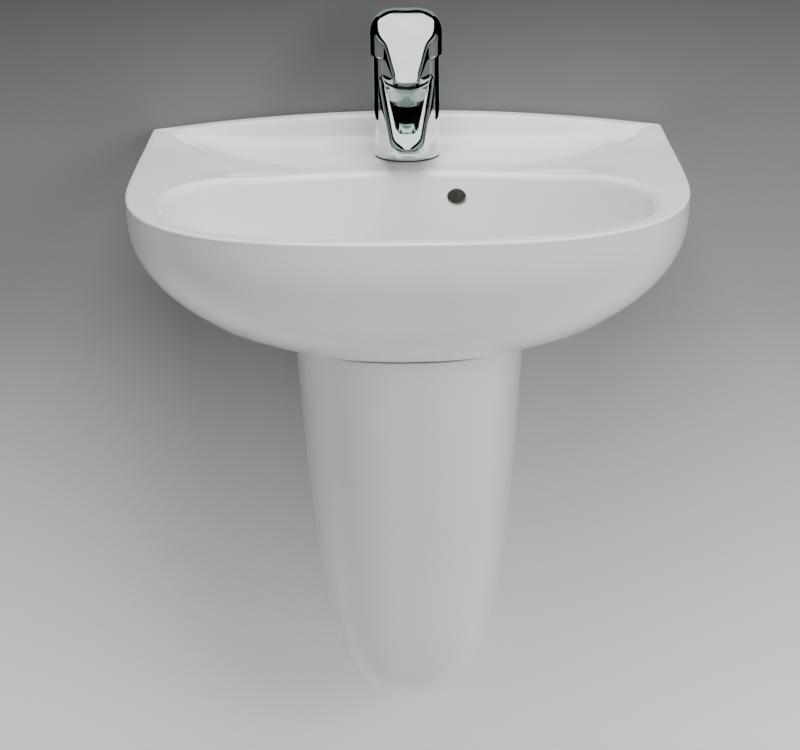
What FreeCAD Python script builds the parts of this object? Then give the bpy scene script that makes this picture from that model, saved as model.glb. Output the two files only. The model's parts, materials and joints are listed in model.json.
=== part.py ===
"""Wall-hung washbasin with a semi-pedestal, a single-lever mixer, a push-open waste and a bottle trap.

Millimetres, +Z up. The wall is the plane y = 0 and the room is on its -Y side. The origin is the middle
of the two wall studs, on the wall. Heights are worked out from the rim, which is rim_rise above the studs.
"""
import math
import os
import re

import FreeCAD
import Part
import Sketcher
from FreeCAD import Placement, Rotation, Vector

SIZES = {
    # basin
    "basin_width": 520, "basin_depth": 410, "rim_rise": 62, "hull_room": 19, "apron_high": 38,
    "nose_high": 24, "hull_toe": 150, "side_depth": 180, "side_pinch": 4, "past_wall": 4,
    "china_wall": 11, "back_wall": 14,
    "rim_side": 39, "rim_front": 21, "rim_middle": 264, "bowl_back": 140, "bowl_deep": 138, "floor_r": 36,
    "lip_high": 20, "lip_thick": 20, "lip_end": 3, "deck_drop": 8, "deck_half": 212, "deck_front": 190,
    "deck_thick": 11, "tap_y": 72, "tap_hole_r": 17.5, "drain_y": 205, "drain_gap": 1.5,
    "seat_deep": 3, "overflow_x": 47, "overflow_deep": 34, "overflow_r": 9.5, "duct_wall": 4,
    "duct_y": 106, "duct_fall": 9, "duct_end": 11, "boss_deep": 34, "boss_wall": 14,
    "cavity_front": 32, "service_half": 72, "service_front": 238,
    # wall fixing
    "stud_half": 140, "stud_r": 5, "stud_in_wall": 50, "stud_reach": 36, "bush_wall": 1.6,
    "bush_gap": 0.3,
    "hole_gap": 0.4, "flange_thick": 3, "bush_flange_wide": 8.1, "washer_wide": 12, "washer_thick": 2.5,
    "nut_wall": 4.8, "nut_high": 8.5,
    # semi-pedestal and its fixing
    "ped_half": 114, "ped_taper": 26, "ped_front": 290, "ped_slope": 60, "ped_top": 145, "ped_fall": 447,
    "ped_wall": 11, "ped_gap": 1, "lug_drop": 150, "lug_wide": 32, "lug_high": 36, "lug_thick": 14,
    "lug_inset": 16, "lug_part": 0.2, "ped_stud_in": 30, "ped_stud_r": 4, "ped_hole_gap": 1.5,
    "ped_stud_reach": 44,
    "ped_washer_wide": 7, "ped_washer_thick": 2, "ped_nut_wall": 3.5, "ped_nut_high": 6.5,
    # mixer body and spout, above the deck
    "gasket_thick": 1.5, "tap_r": 32, "tap_high": 101, "spout_reach": 123, "nose_r": 17, "spout_inset": 1,
    "spout_tip_high": 37.5, "spout_slope": 0.48, "spout_under": 17, "tip_under": 29, "outlet_y": 101,
    "bore_gap": 0.3, "bore_floor": 54, "foot_inset": 0.5, "foot_high": 24, "water_r": 4, "water_high": 33,
    "aerator_r": 12, "aerator_wall": 2, "aerator_high": 13, "aerator_low": 24, "insert_high": 8,
    "jet_r": 1.2, "jet_ring": 5.4, "jet_count": 8,
    # cartridge and lever, above the deck
    "cart_r": 19.7, "cart_step": 2.3, "cart_wall": 2.6, "cart_shoulder": 86, "cart_top": 98,
    "disc_fit": 0.5,
    "disc_thick": 3.5, "disc_gap": 0.05, "mover_shrink": 3.3, "mover_start": 2.4, "rotor_low": 64.4,
    "rotor_top": 96, "rotor_gap": 0.4, "slot_front": 11.4, "slot_back": 12.6, "pivot_high": 80,
    "pin_r": 2, "pin_gap": 0.05,
    "stem_half": 4, "stem_gap": 0.35, "stem_low": 66, "stem_top": 116, "ring_nut_high": 9,
    "thread_gap": 0.1,
    "decor_wide": 7.4, "decor_inset": 1.4, "decor_high": 4, "lever_gap": 0.8, "lever_wall": 2.2,
    "crown_back": 20,
    "lever_top": 143, "lever_slope": 0.52, "crown_drop": 10, "lever_nose": 74, "lever_tip_half": 12,
    "lever_root_in": 5, "lever_tip_thick": 5, "lever_roof": 5, "boss_half": 9, "boss_low": 113,
    "screw_r": 2.5, "screw_up": 114, "index_r": 4, "index_thick": 2, "index_sink": 2.6,
    # mixer fixing and supplies
    "fix_stud_r": 3, "fix_stud_y": 12, "fix_stud_low": 40, "clamp_lap": 7.5, "clamp_thick": 3,
    "seal_thick": 3,
    "fork_half": 14, "fork_back": 4, "fix_nut_wall": 3, "fix_nut_high": 12, "tail_x": 8, "tail_y": 3,
    "tail_r": 5,
    "tail_wall": 1, "tail_bend_r": 30, "tail_fall": 74, "tail_run": 100, "tail_gap": 0.2,
    # stop valves
    "valve_x": 62, "valve_drop": 262, "inlet_r": 10.48, "inlet_in_wall": 14, "neck_step": 0.3,
    "rosette_wide": 11.5, "rosette_deep": 7, "rosette_edge": 5, "valve_r": 12.5, "valve_deep": 42,
    "riser_y": 27, "riser_wall": 4, "riser_high": 22, "cap_wall": 2, "cap_high": 12, "cap_lap": 5,
    "spindle_r": 4, "spindle_in": 8, "handle_r": 14, "handle_deep": 20, "handle_gap": 2,
    "spindle_gap": 0.05, "flute_r": 2.2, "flute_count": 8,
    # waste and trap
    "waste_r": 22.5, "waste_lip": 9, "waste_long": 74, "waste_wall": 3.5, "mouth_step": 1,
    "waste_seal_wide": 10.5, "waste_seal_high": 5, "waste_nut_wide": 8.5, "waste_nut_high": 9,
    "plug_lap": 5,
    "plug_cap_high": 6, "plug_shoulder": 4.5, "plug_crown": 0.8, "plug_lift": 9, "plug_stem_r": 3.5,
    "plug_stem_long": 50, "plug_seal_thick": 1.6,
    "guide_r": 8, "guide_gap": 0.06, "guide_high": 26, "guide_top": 26, "arm_wide": 4, "arm_high": 6,
    "trap_pipe_r": 16, "pipe_wall": 1.5, "collar_gap": 0.5, "collar_thick": 2, "coupling_wall": 4.5,
    "coupling_high": 16, "head_rim": 3, "head_gap": 1, "trap_room": 11, "trap_wall": 2.5, "dip_low": 275,
    "cup_lap": 10, "cup_wall": 3, "cup_high": 72, "cup_turn": 61, "cup_foot": 0.8, "cup_inner_turn": 57.6,
    "cup_inner_foot": 0.75, "gland_wall": 6, "gland_high": 12,
    "outlet_drop": 212, "branch_wall": 3, "branch_reach": 44, "outlet_nut_long": 18, "outlet_in_wall": 50,
    "flange_wide": 18, "flange_deep": 9, "flange_edge": 6,
}

# Sizes that follow from the ones above, as formulas.
DERIVED = {
    "hull_deep": "(bowl_deep + china_wall + hull_room)",
    "branch_r": "(trap_pipe_r + branch_wall)", "collar_r": "(waste_r - collar_gap)",
    "coupling_r": "(waste_r + coupling_wall)", "gland_r": "(trap_pipe_r + gland_wall)",
    "trap_r": "(trap_pipe_r + trap_room)", "cup_r": "(trap_pipe_r + trap_room + cup_wall)",
    "trap_head_top": "(outlet_drop - trap_pipe_r - branch_wall - head_rim)",
    "trap_head_high": "((trap_pipe_r + branch_wall) * 2 + head_rim + cup_lap + head_gap)",
    "flange_r": "(trap_pipe_r + flange_wide)", "waste_flange_r": "(waste_r + waste_lip)",
    "drain_hole_r": "(waste_r + drain_gap)", "boss_r": "(waste_r + drain_gap + boss_wall)",
    "drain_seat_r": "(waste_r + waste_lip + drain_gap)",
    "waste_mouth_r": "(waste_r - waste_wall + mouth_step)",
    "waste_seal_r": "(waste_r + waste_seal_wide)", "waste_nut_r": "(waste_r + waste_nut_wide)",
    "plug_cap_r": "(waste_r - waste_wall + mouth_step + plug_lap)",
    "bush_r": "(stud_r + bush_gap + bush_wall)",
    "bush_flange_r": "(stud_r + bush_gap + bush_wall + bush_flange_wide)",
    "washer_r": "(stud_r + washer_wide)",
    "nut_corner": "(stud_r + nut_wall)", "ped_hole_r": "(ped_stud_r + ped_hole_gap)",
    "ped_washer_r": "(ped_stud_r + ped_washer_wide)", "ped_nut_corner": "(ped_stud_r + ped_nut_wall)",
    "spout_root_half": "(tap_r - spout_inset)", "bore_r": "(cart_r + bore_gap)",
    "foot_r": "(tap_hole_r - foot_inset)",
    "cart_neck_r": "(cart_r - cart_step)", "disc_r": "(cart_r - cart_step - cart_wall - disc_fit)",
    "mover_r": "(cart_r - cart_step - cart_wall - disc_fit - mover_shrink)",
    "decor_hole_r": "(cart_r + bore_gap - decor_inset)",
    "decor_r": "(cart_r + bore_gap - decor_inset + decor_wide)",
    "clamp_r": "(tap_hole_r + clamp_lap)", "fix_nut_r": "(fix_stud_r + fix_nut_wall)",
    "lever_root_half": "(tap_r - lever_root_in)", "rosette_r": "(valve_r + rosette_wide)",
    "riser_r": "(tail_r + riser_wall)", "cap_r": "(tail_r + riser_wall + cap_wall)",
}

doc = FreeCAD.newDocument("Washbasin")
sheet = doc.addObject("Spreadsheet::Sheet", "Sizes")
for row, (alias, value) in enumerate(SIZES.items(), 1):
    sheet.set("A%d" % row, alias)
    sheet.set("B%d" % row, str(value))
    sheet.setAlias("B%d" % row, alias)
doc.recompute()

ALIAS = re.compile(r"\b(%s)\b" % "|".join(SIZES))
FOLLOWS = re.compile(r"\b(%s)\b" % "|".join(DERIVED))
NODES = []


def spelled(formula):
    """The formula with each derived size written out."""
    return FOLLOWS.sub(lambda found: DERIVED[found.group(1)], str(formula))


def bound(formula):
    """The formula with each alias pointing at its cell."""
    return ALIAS.sub(r"Sizes.\1", spelled(formula))


def size(formula):
    """The present value of a formula."""
    return float(sheet.evalExpression(spelled(formula)))


def place(item, at, turn=None):
    """Binds an object's position to three formulas, after an optional (axis, degrees) turn."""
    if turn:
        item.Placement = Placement(Vector(), Rotation(Vector(*turn[0]), turn[1]))
    for letter, formula in zip("xyz", at):
        item.setExpression("Placement.Base." + letter, bound(formula))
    return item


def node(item, label):
    """Makes an object one of the sub-parts that are written out."""
    item.Label = label
    NODES.append(item)
    return item


def polygon(body, name, plane, corners):
    """A closed sketch on one of the body's own planes, with every corner bound to the sheet."""
    sketch = body.newObject("Sketcher::SketchObject", name)
    support = [part for part in body.Origin.OriginFeatures if part.Role == plane][0]
    sketch.AttachmentSupport = [(support, "")]
    sketch.MapMode = "FlatFace"
    spots = [(size(across), size(up)) for across, up in corners]
    count = len(corners)
    for k, spot in enumerate(spots):
        following = spots[(k + 1) % count]
        sketch.addGeometry(Part.LineSegment(Vector(*spot, 0), Vector(*following, 0)), False)
    for k in range(count):
        sketch.addConstraint(Sketcher.Constraint("Coincident", k, 2, (k + 1) % count, 1))
    for k, corner in enumerate(corners):
        for kind, axis, formula, value in zip(("DistanceX", "DistanceY"), (-2, -1), corner, spots[k]):
            if formula == "0":
                sketch.addConstraint(Sketcher.Constraint("PointOnObject", k, 1, axis))
            else:
                index = sketch.addConstraint(Sketcher.Constraint(kind, k, 1, value))
                sketch.setExpression("Constraints[%d]" % index, bound(formula))
    return sketch


def turned(name, outline, at=("0", "0", "0"), turn=None):
    """A body turned about its own Z axis from (radius, height) formulas."""
    body = doc.addObject("PartDesign::Body", name)
    sketch = polygon(body, name + "_outline", "XZ_Plane", outline)
    feature = body.newObject("PartDesign::Revolution", name + "_turn")
    feature.Profile = sketch
    feature.ReferenceAxis = (sketch, ["V_Axis"])
    feature.Angle = 360
    return place(body, at, turn)


def slab(name, plane, corners, length, at=("0", "0", "0")):
    """A body padded both ways from a polygon on one of its planes."""
    body = doc.addObject("PartDesign::Body", name)
    sketch = polygon(body, name + "_outline", plane, corners)
    feature = body.newObject("PartDesign::Pad", name + "_pad")
    feature.Profile = sketch
    feature.SideType = "Symmetric"
    feature.setExpression("Length", bound(length))
    return place(body, at)


def rod(name, radius, high, at, turn=None):
    """A plain cylinder."""
    item = doc.addObject("Part::Cylinder", name)
    item.setExpression("Radius", bound(radius))
    item.setExpression("Height", bound(high))
    return place(item, at, turn)


def block(name, wide, deep, high, at):
    """A plain box from its lowest corner."""
    item = doc.addObject("Part::Box", name)
    for side, formula in (("Length", wide), ("Width", deep), ("Height", high)):
        item.setExpression(side, bound(formula))
    return place(item, at)


def fused(name, items):
    """Several objects joined."""
    item = doc.addObject("Part::MultiFuse", name)
    item.Shapes = items
    return item


def cut(name, base, tools):
    """An object with others taken out of it."""
    item = doc.addObject("Part::Cut", name)
    item.Base = base
    item.Tool = tools[0] if len(tools) == 1 else fused(name + "_tools", tools)
    return item


def shared(name, first, second):
    """What two objects have in common."""
    item = doc.addObject("Part::Common", name)
    item.Base = first
    item.Tool = second
    return item


def ring(name, outer, inner, high, at, turn=None):
    """A plain ring."""
    outline = ((inner, "0"), (outer, "0"), (outer, high), (inner, high))
    return turned(name, outline, at, turn)


def hex_nut(name, corner, high, bore, at, turn=None):
    """A six-sided nut with a plain bore."""
    prism = doc.addObject("Part::Prism", name + "_prism")
    prism.Polygon = 6
    prism.setExpression("Circumradius", bound(corner))
    prism.setExpression("Height", bound(high))
    return cut(name, place(prism, at, turn), [rod(name + "_bore", bore, high, at, turn)])


def twins(label, make):
    """Two identical solids, left and right, as one node."""
    item = doc.addObject("Part::Compound", label)
    item.Links = [make(label + "_left", "-"), make(label + "_right", "")]
    return node(item, label)


def formed(name, shape):
    """An object whose shape is worked out by this file's own code."""
    item = doc.addObject("Part::Feature", name)
    item.Shape = shape
    return item


INTO_WALL = ((1, 0, 0), -90)
TO_ROOM = ((1, 0, 0), 90)
ACROSS = ((0, 1, 0), 90)


# ---- Free-form china: sections of superellipses, lofted ----

# how square each outline is: 2 is an ellipse, and more is squarer
HULL_POWER = 2.9
HULL_POWER_LOSS = 0.5
BOWL_POWERS = (2.7, 2.1)
DECK_POWERS = (4, 4)
PEDESTAL_POWER = 2.6
# how the sizes of the sections fall away towards the bottom
BOWL_FALL = 2.5
BOWL_ROUND = 2.3
PEDESTAL_SIDE_ROUND = 3.6
PEDESTAL_FRONT_ROUND = 3
HULL_SLACK = 1.02
# where the sections are taken, as parts of a depth or as degrees of a turn
APRON_PARTS = (0, 0.33, 0.66)
HULL_TURNS = (4, 16, 28, 40, 51, 61, 70, 77)
BOWL_PARTS = (-0.04, 0.12, 0.3, 0.5, 0.7, 0.86, 0.96, 1.0)
PEDESTAL_PARTS = (-0.16, 0.0, 0.16, 0.34, 0.52, 0.68, 0.8, 0.89, 0.95, 0.985, 0.998)
WALL_STEPS = 12
OVAL_STEPS = 24


def power_point(angle, half, reach, power):
    """A point of a superellipse about its own centre."""
    across = abs(math.cos(angle)) ** (2 / power) * half
    along = abs(math.sin(angle)) ** (2 / power) * reach
    return math.copysign(across, math.cos(angle)), math.copysign(along, math.sin(angle))


def wall_section(half, reach, level, power, side, pinch=0.0, wall=0.0):
    """A D-shaped wire that is open to the wall: straight sides, then half a superellipse."""
    points = [Vector(half - pinch, wall, level), Vector(half - pinch / 4, -side / 2, level)]
    for k in range(WALL_STEPS + 1):
        across, along = power_point(math.pi * k / WALL_STEPS, half, reach - side, power)
        points.append(Vector(across, -side - along, level))
    points += [Vector(-half + pinch / 4, -side / 2, level), Vector(-half + pinch, wall, level)]
    curve = Part.BSplineCurve()
    curve.interpolate(points)
    return Part.Wire([curve.toShape(), Part.LineSegment(points[-1], points[0]).toShape()])


def oval_section(half, front, back, middle, level, powers=BOWL_POWERS):
    """A closed wire whose front and back halves have their own squareness."""
    points = []
    for k in range(OVAL_STEPS):
        angle = 2 * math.pi * k / OVAL_STEPS
        power = powers[1] if math.sin(angle) > 0 else powers[0]
        reach = back if math.sin(angle) > 0 else front
        across, along = power_point(angle, half, reach, power)
        points.append(Vector(across, middle + along, level))
    curve = Part.BSplineCurve()
    curve.interpolate(points, PeriodicFlag=True)
    return Part.Wire([curve.toShape()])


def loft(wires):
    """A solid through closed sections."""
    return Part.makeLoft(wires, True, False)


def hull_shape(grow, lid=0.0):
    """The basin's outside, from the rim down, with grow added all round and lid taken off the top."""
    half = size("basin_width / 2") + grow
    deep = size("basin_depth") + grow
    bottom = size("hull_deep") + grow
    apron = size("apron_high")
    nose = size("nose_high")
    toe = size("hull_toe") + grow
    wires = []
    straight = [(lid + (apron - lid) * part, 1.0) for part in APRON_PARTS]
    rounds = [math.radians(turn) for turn in HULL_TURNS]
    curved = [(apron + (bottom - apron) * math.sin(turn), math.cos(turn)) for turn in rounds]
    for drop, narrow in straight + curved:
        fall = max(0.0, drop - nose) / (bottom * HULL_SLACK - nose)
        front = toe + (deep - toe) * math.sqrt(1 - fall * fall)
        power = HULL_POWER - HULL_POWER_LOSS * drop / bottom
        side = size("side_depth") * front / deep
        level = size("rim_rise") - drop
        pinch = size("side_pinch") * narrow
        wires.append(wall_section(half * narrow, front, level, power, side, pinch, size("past_wall")))
    room_side = Part.makeBox(half * 4, deep * 2, deep * 4, Vector(-half * 2, -deep * 2, -deep * 2))
    return loft(wires).common(room_side)


def bowl_shape(grow):
    """The bowl's inside, or with grow its outer skin."""
    middle = -size("rim_middle")
    drain = -size("drain_y")
    half = size("basin_width / 2 - rim_side") + grow
    front = size("basin_depth - rim_front") + middle + grow
    back = -middle - size("bowl_back") + grow
    bottom = size("bowl_deep") + grow
    flat = size("floor_r") + grow
    wires = []
    for part in BOWL_PARTS:
        inside = (1 - max(0.0, part) ** BOWL_FALL) ** (1 / BOWL_ROUND)
        drift = middle + (drain - middle) * part ** 2
        level = size("rim_rise") - bottom * part
        reach = [flat + (full - flat) * inside for full in (half, front, back)]
        wires.append(oval_section(*reach, drift, level))
    return loft(wires)


def pipe_wire(points, bend):
    """Straight runs joined by tangent arcs."""
    edges = []
    start = points[0]
    for before, corner, after in zip(points, points[1:], points[2:]):
        inward = (before - corner).normalize()
        outward = (after - corner).normalize()
        half_turn = (math.pi - inward.getAngle(outward)) / 2
        back_off = bend * math.tan(half_turn)
        first = corner + inward * back_off
        last = corner + outward * back_off
        towards = (inward + outward).normalize()
        middle = corner + towards * (bend / math.cos(half_turn) - bend)
        edges.append(Part.LineSegment(start, first).toShape())
        edges.append(Part.Arc(first, middle, last).toShape())
        start = last
    edges.append(Part.LineSegment(start, points[-1]).toShape())
    return Part.Wire(edges)


def swept(points, radius, bend):
    """A round bar along straight runs and arcs."""
    path = pipe_wire(points, bend)
    circle = Part.Circle(points[0], points[1] - points[0], radius).toShape()
    return path.makePipeShell([Part.Wire([circle])], True, False)


def basin_blank():
    """The china of the basin before its round holes are cut."""
    rim = size("rim_rise")
    wide = size("basin_width")
    deep = size("basin_depth")
    outside = hull_shape(0.0)
    # the raised lip along the wall, arched and ending at the back corners
    end = size("basin_width / 2 - side_pinch")
    low = rim - size("deck_drop")
    left = Vector(-end, 0, rim + size("lip_end"))
    right = Vector(end, 0, rim + size("lip_end"))
    arch = Part.Arc(left, Vector(0, 0, rim + size("lip_high")), right).toShape()
    foot_left = Vector(-end, 0, low)
    foot_right = Vector(end, 0, low)
    sides = [Part.LineSegment(*pair).toShape() for pair in
             ((right, foot_right), (foot_right, foot_left), (foot_left, left))]
    lip = Part.Face(Part.Wire([arch] + sides)).extrude(Vector(0, -size("lip_thick"), 0))
    # the deck between the lip and the bowl is a little lower than the rim
    deck_middle = -size("lip_thick / 2 + deck_front") / 2
    deck_reach = size("deck_front - lip_thick / 2") / 2
    recess = []
    for shrink, level in ((0.0, rim + size("deck_drop")), (size("deck_drop"), low)):
        half = size("deck_half") - shrink
        reach = deck_reach - shrink / 2
        recess.append(oval_section(half, reach, reach, deck_middle, level, DECK_POWERS))
    # the space behind the bowl and under the deck
    under = size("deck_drop + deck_thick")
    space = hull_shape(-size("china_wall"), under)
    hollow_front = size("rim_middle + cavity_front")
    room = Part.makeBox(wide, hollow_front - size("back_wall"), deep * 2,
                        Vector(-wide / 2, -hollow_front, -deep))
    space = space.common(room).cut(bowl_shape(size("china_wall")))
    service = Part.makeBox(size("service_half * 2"), size("service_front - back_wall"), size("hull_deep"),
                           Vector(-size("service_half"), -size("service_front"),
                                  rim - size("bowl_deep + china_wall + hull_deep + 1")))
    china = outside.cut(loft(recess)).fuse(lip).cut(space).cut(service)
    # a thick boss round the drain, where the overflow duct from behind the bowl ends
    boss = Part.makeCylinder(size("boss_r"), size("boss_deep"),
                             Vector(0, -size("drain_y"), rim - size("bowl_deep + boss_deep")))
    duct = swept(duct_points(), size("overflow_r + duct_wall"), size("duct_wall * 4"))
    return china.fuse([boss, duct]).cut(bowl_shape(0.0)).removeSplitter()


def duct_points():
    """The overflow duct's route: out of the bowl's back, down, and in to the drain."""
    across = size("overflow_x")
    high = size("rim_rise - overflow_deep")
    low = size("rim_rise - bowl_deep - boss_deep / 2")
    behind = -size("duct_y")
    return [Vector(across, -size("bowl_back + overflow_r * 3"), high), Vector(across, behind, high),
            Vector(across / 2, behind, low + size("duct_fall")),
            Vector(0, -size("drain_y - duct_end"), low - 2)]


def pedestal_skin(inset, reach_past=0.0):
    """The semi-pedestal's outside, or with inset its inside, which runs past its top and back."""
    top = size("rim_rise - ped_top")
    fall = size("ped_fall") - inset
    wires = []
    for part in PEDESTAL_PARTS:
        sunk = max(0.0, part)
        narrow = (1 - sunk ** PEDESTAL_SIDE_ROUND) ** (1 / PEDESTAL_SIDE_ROUND)
        short = (1 - sunk ** PEDESTAL_FRONT_ROUND) ** (1 / PEDESTAL_FRONT_ROUND)
        half = (size("ped_half") - size("ped_taper") * part) * narrow - inset
        reach = (size("ped_front") - size("ped_slope") * part) * short - inset
        if half < inset:
            continue
        level = top - fall * part
        wires.append(wall_section(half, reach, level, PEDESTAL_POWER, reach / 3, 0.0, reach_past))
    return loft(wires)


# ---- Basin and semi-pedestal ----

blank = formed("basin_blank", basin_blank())
duct = formed("overflow_way", swept(duct_points(), size("overflow_r"), size("duct_wall * 4")))
deck_z = "rim_rise - deck_drop"
floor_z = "rim_rise - bowl_deep"
holes = [duct, rod("tap_hole", "tap_hole_r", "deck_thick * 4",
                   ("0", "-tap_y", deck_z + " - deck_thick * 2"))]
holes.append(rod("drain_hole", "drain_hole_r", "boss_deep * 2",
                 ("0", "-drain_y", floor_z + " - boss_deep * 1.5")))
holes.append(rod("drain_seat", "drain_seat_r", "china_wall", ("0", "-drain_y", floor_z + " - seat_deep")))
for side, sign in (("left", "-"), ("right", "")):
    holes.append(rod("wall_hole_" + side, "bush_r + hole_gap", "back_wall * 3",
                     (sign + "stud_half", "-back_wall * 2", "0"), INTO_WALL))
basin = node(cut("basin", blank, holes), "basin")

skin = formed("pedestal_skin", pedestal_skin(0.0))
hollow = formed("pedestal_hollow", pedestal_skin(size("ped_wall"), size("ped_gap")))
crown = formed("pedestal_crown", hull_shape(size("ped_gap")))
lug_x = "ped_half - ped_taper * lug_part - ped_wall"
lugs = []
for side, start in (("left", "-(%s) - ped_wall / 2" % lug_x),
                    ("right", lug_x + " - lug_wide + ped_wall / 2")):
    lugs.append(block("lug_" + side, "lug_wide", "lug_thick", "lug_high",
                      (start, "-lug_inset - lug_thick", "-lug_drop - lug_high / 2")))
shell = fused("pedestal_shell", [cut("pedestal_open", skin, [hollow])] + lugs)
ped_stud_x = "(ped_half - ped_stud_in)"
bores = [crown]
for side, sign in (("left", "-"), ("right", "")):
    bores.append(rod("lug_bore_" + side, "ped_hole_r", "lug_thick * 3",
                     (sign + ped_stud_x, "-lug_inset - lug_thick * 2", "-lug_drop"), INTO_WALL))
node(cut("semi_pedestal", shell, bores), "semi_pedestal")


# ---- Wall fixings ----

def wall_ring(outer, inner, thick, start, cross, drop):
    """A maker of one ring on a stud, its far face start behind the wall plane."""
    return lambda name, sign: ring(name, outer, inner, thick, (sign + cross, "-(%s)" % start, drop),
                                   INTO_WALL)


def stud_maker(radius, reach, buried, cross, drop):
    """A maker of one stud: its thread stands out of the wall, its thicker shank is inside it."""
    def stud(name, sign):
        thread = rod(name + "_thread", radius, reach, (sign + cross, "-" + reach, drop), INTO_WALL)
        shank = rod(name + "_shank", radius + " + neck_step", buried, (sign + cross, "0", drop),
                    INTO_WALL)
        return fused(name, [thread, shank])
    return stud


def bush(name, sign):
    """A plastic bush in the basin's wall hole, with a flange on the inner face."""
    inner = "stud_r + bush_gap"
    outline = ((inner, "0"), ("bush_flange_r", "0"), ("bush_flange_r", "flange_thick"),
               ("bush_r", "flange_thick"), ("bush_r", "flange_thick + back_wall"),
               (inner, "flange_thick + back_wall"))
    return turned(name, outline, (sign + "stud_half", "-back_wall - flange_thick", "0"), INTO_WALL)


def nut_maker(corner, high, bore, start, cross, drop):
    """A maker of one nut on a stud."""
    return lambda name, sign: hex_nut(name, corner, high, bore, (sign + cross, "-(%s)" % start, drop),
                                      INTO_WALL)


twins("wall_studs", stud_maker("stud_r", "stud_reach", "stud_in_wall", "stud_half", "0"))
twins("stud_bushes", bush)
seat = "back_wall + flange_thick + washer_thick"
twins("stud_washers", wall_ring("washer_r", "stud_r + bush_gap", "washer_thick", seat, "stud_half", "0"))
twins("stud_nuts", nut_maker("nut_corner", "nut_high", "stud_r", seat + " + nut_high", "stud_half", "0"))
twins("pedestal_studs", stud_maker("ped_stud_r", "ped_stud_reach", "stud_in_wall", ped_stud_x,
                                   "-lug_drop"))
seat = "lug_inset + lug_thick + ped_washer_thick"
twins("pedestal_washers", wall_ring("ped_washer_r", "ped_stud_r + bush_gap", "ped_washer_thick", seat,
                                    ped_stud_x, "-lug_drop"))
twins("pedestal_nuts", nut_maker("ped_nut_corner", "ped_nut_high", "ped_stud_r", seat + " + ped_nut_high",
                                 ped_stud_x, "-lug_drop"))


# ---- Mixer: body, spout and aerator, placed on the deck over the tap hole ----

TAP = ("0", "-tap_y", deck_z)


def on_tap(up="0", forward="0", across="0"):
    """A place measured from the middle of the mixer's foot."""
    return (across, "-tap_y - (%s)" % forward, "%s + %s" % (deck_z, up))


node(ring("tap_gasket", "tap_r - lever_gap", "tap_hole_r", "gasket_thick", TAP), "tap_gasket")
column = rod("tap_column", "tap_r", "tap_high - gasket_thick", on_tap("gasket_thick"))
tip_start = "spout_reach - nose_r"
plan = slab("spout_plan", "XY_Plane",
            (("spout_root_half", "0"), ("nose_r", "-(%s)" % tip_start), ("-nose_r", "-(%s)" % tip_start),
             ("-spout_root_half", "0")), "tap_high * 2", TAP)
nose = rod("spout_nose", "nose_r", "tap_high", on_tap("0", tip_start))
profile = slab("spout_profile", "YZ_Plane",
               (("0", "spout_under"), ("-spout_reach", "tip_under"), ("-spout_reach", "spout_tip_high"),
                ("0", "spout_tip_high + spout_slope * spout_reach")), "tap_r * 3", TAP)
spout = shared("spout", fused("spout_block", [plan, nose]), profile)
ways = [
    rod("cartridge_bore", "bore_r", "tap_high", on_tap("bore_floor")),
    rod("foot_bore", "foot_r", "foot_high", TAP),
    rod("inlet_hot", "water_r", "bore_floor", on_tap("0", "tail_y", "-tail_x")),
    rod("inlet_cold", "water_r", "bore_floor", on_tap("0", "tail_y", "tail_x")),
    rod("water_down", "water_r", "bore_floor - water_high", on_tap("water_high", "tail_y * 3")),
    rod("water_way", "water_r", "outlet_y - tail_y * 3", on_tap("water_high", "tail_y * 3"), TO_ROOM),
    rod("aerator_socket", "aerator_r + thread_gap", "aerator_high * 3",
        on_tap("aerator_low - aerator_high * 2", "outlet_y")),
    rod("stud_socket", "fix_stud_r", "foot_high + fix_nut_high", on_tap("0", "-fix_stud_y")),
]
node(cut("tap_body", fused("tap_casting", [column, spout]), ways), "tap_body")
inner = "aerator_r - aerator_wall"
node(turned("aerator_housing",
            (("aerator_r - aerator_wall * 2", "0"), ("aerator_r", "0"), ("aerator_r", "aerator_high"),
             (inner, "aerator_high"), (inner, "aerator_wall"),
             ("aerator_r - aerator_wall * 2", "aerator_wall")),
            on_tap("aerator_low", "outlet_y")), "aerator_housing")
sieve = rod("sieve_disc", inner + " - thread_gap", "insert_high",
            on_tap("aerator_low + aerator_wall", "outlet_y"))
jets = []
for k in range(int(size("jet_count"))):
    turn = 2 * math.pi * k / size("jet_count")
    forward = "outlet_y + jet_ring * %.4f" % math.cos(turn)
    across = "jet_ring * %.4f" % math.sin(turn)
    jets.append(rod("jet_%d" % k, "jet_r", "insert_high",
                    on_tap("aerator_low + aerator_wall", forward, across)))
node(cut("aerator_insert", sieve, jets), "aerator_insert")

# ---- Mixer: cartridge ----

inner = "cart_neck_r - cart_wall"
cup = "bore_floor + cart_wall"
node(turned("cartridge_housing",
            (("0", "bore_floor"), ("cart_r", "bore_floor"), ("cart_r", "cart_shoulder"),
             ("cart_neck_r", "cart_shoulder"), ("cart_neck_r", "cart_top"), (inner, "cart_top"),
             (inner, cup),
             ("0", cup)), TAP), "cartridge_housing")
node(rod("fixed_disc", "disc_r", "disc_thick", on_tap(cup)), "fixed_disc")
node(rod("moving_disc", "mover_r", "disc_thick",
         on_tap(cup + " + disc_thick + disc_gap", "-mover_start")),
     "moving_disc")
rotor = rod("rotor_drum", inner + " - rotor_gap", "rotor_top - rotor_low", on_tap("rotor_low"))
slot = block("rotor_slot", "(stem_half + stem_gap) * 2", "slot_front + slot_back", "rotor_top",
             on_tap("rotor_low / 2", "slot_front", "-stem_half - stem_gap"))
pin_long = "(%s - rotor_gap * 2) * 2" % inner
pin_start = "-(%s - rotor_gap * 2)" % inner
eye = rod("rotor_eye", "pin_r", pin_long, on_tap("pivot_high", "0", pin_start), ACROSS)
node(cut("cartridge_rotor", rotor, [slot, eye]), "cartridge_rotor")
node(rod("pivot_pin", "pin_r", pin_long, on_tap("pivot_high", "0", pin_start), ACROSS), "pivot_pin")
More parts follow.
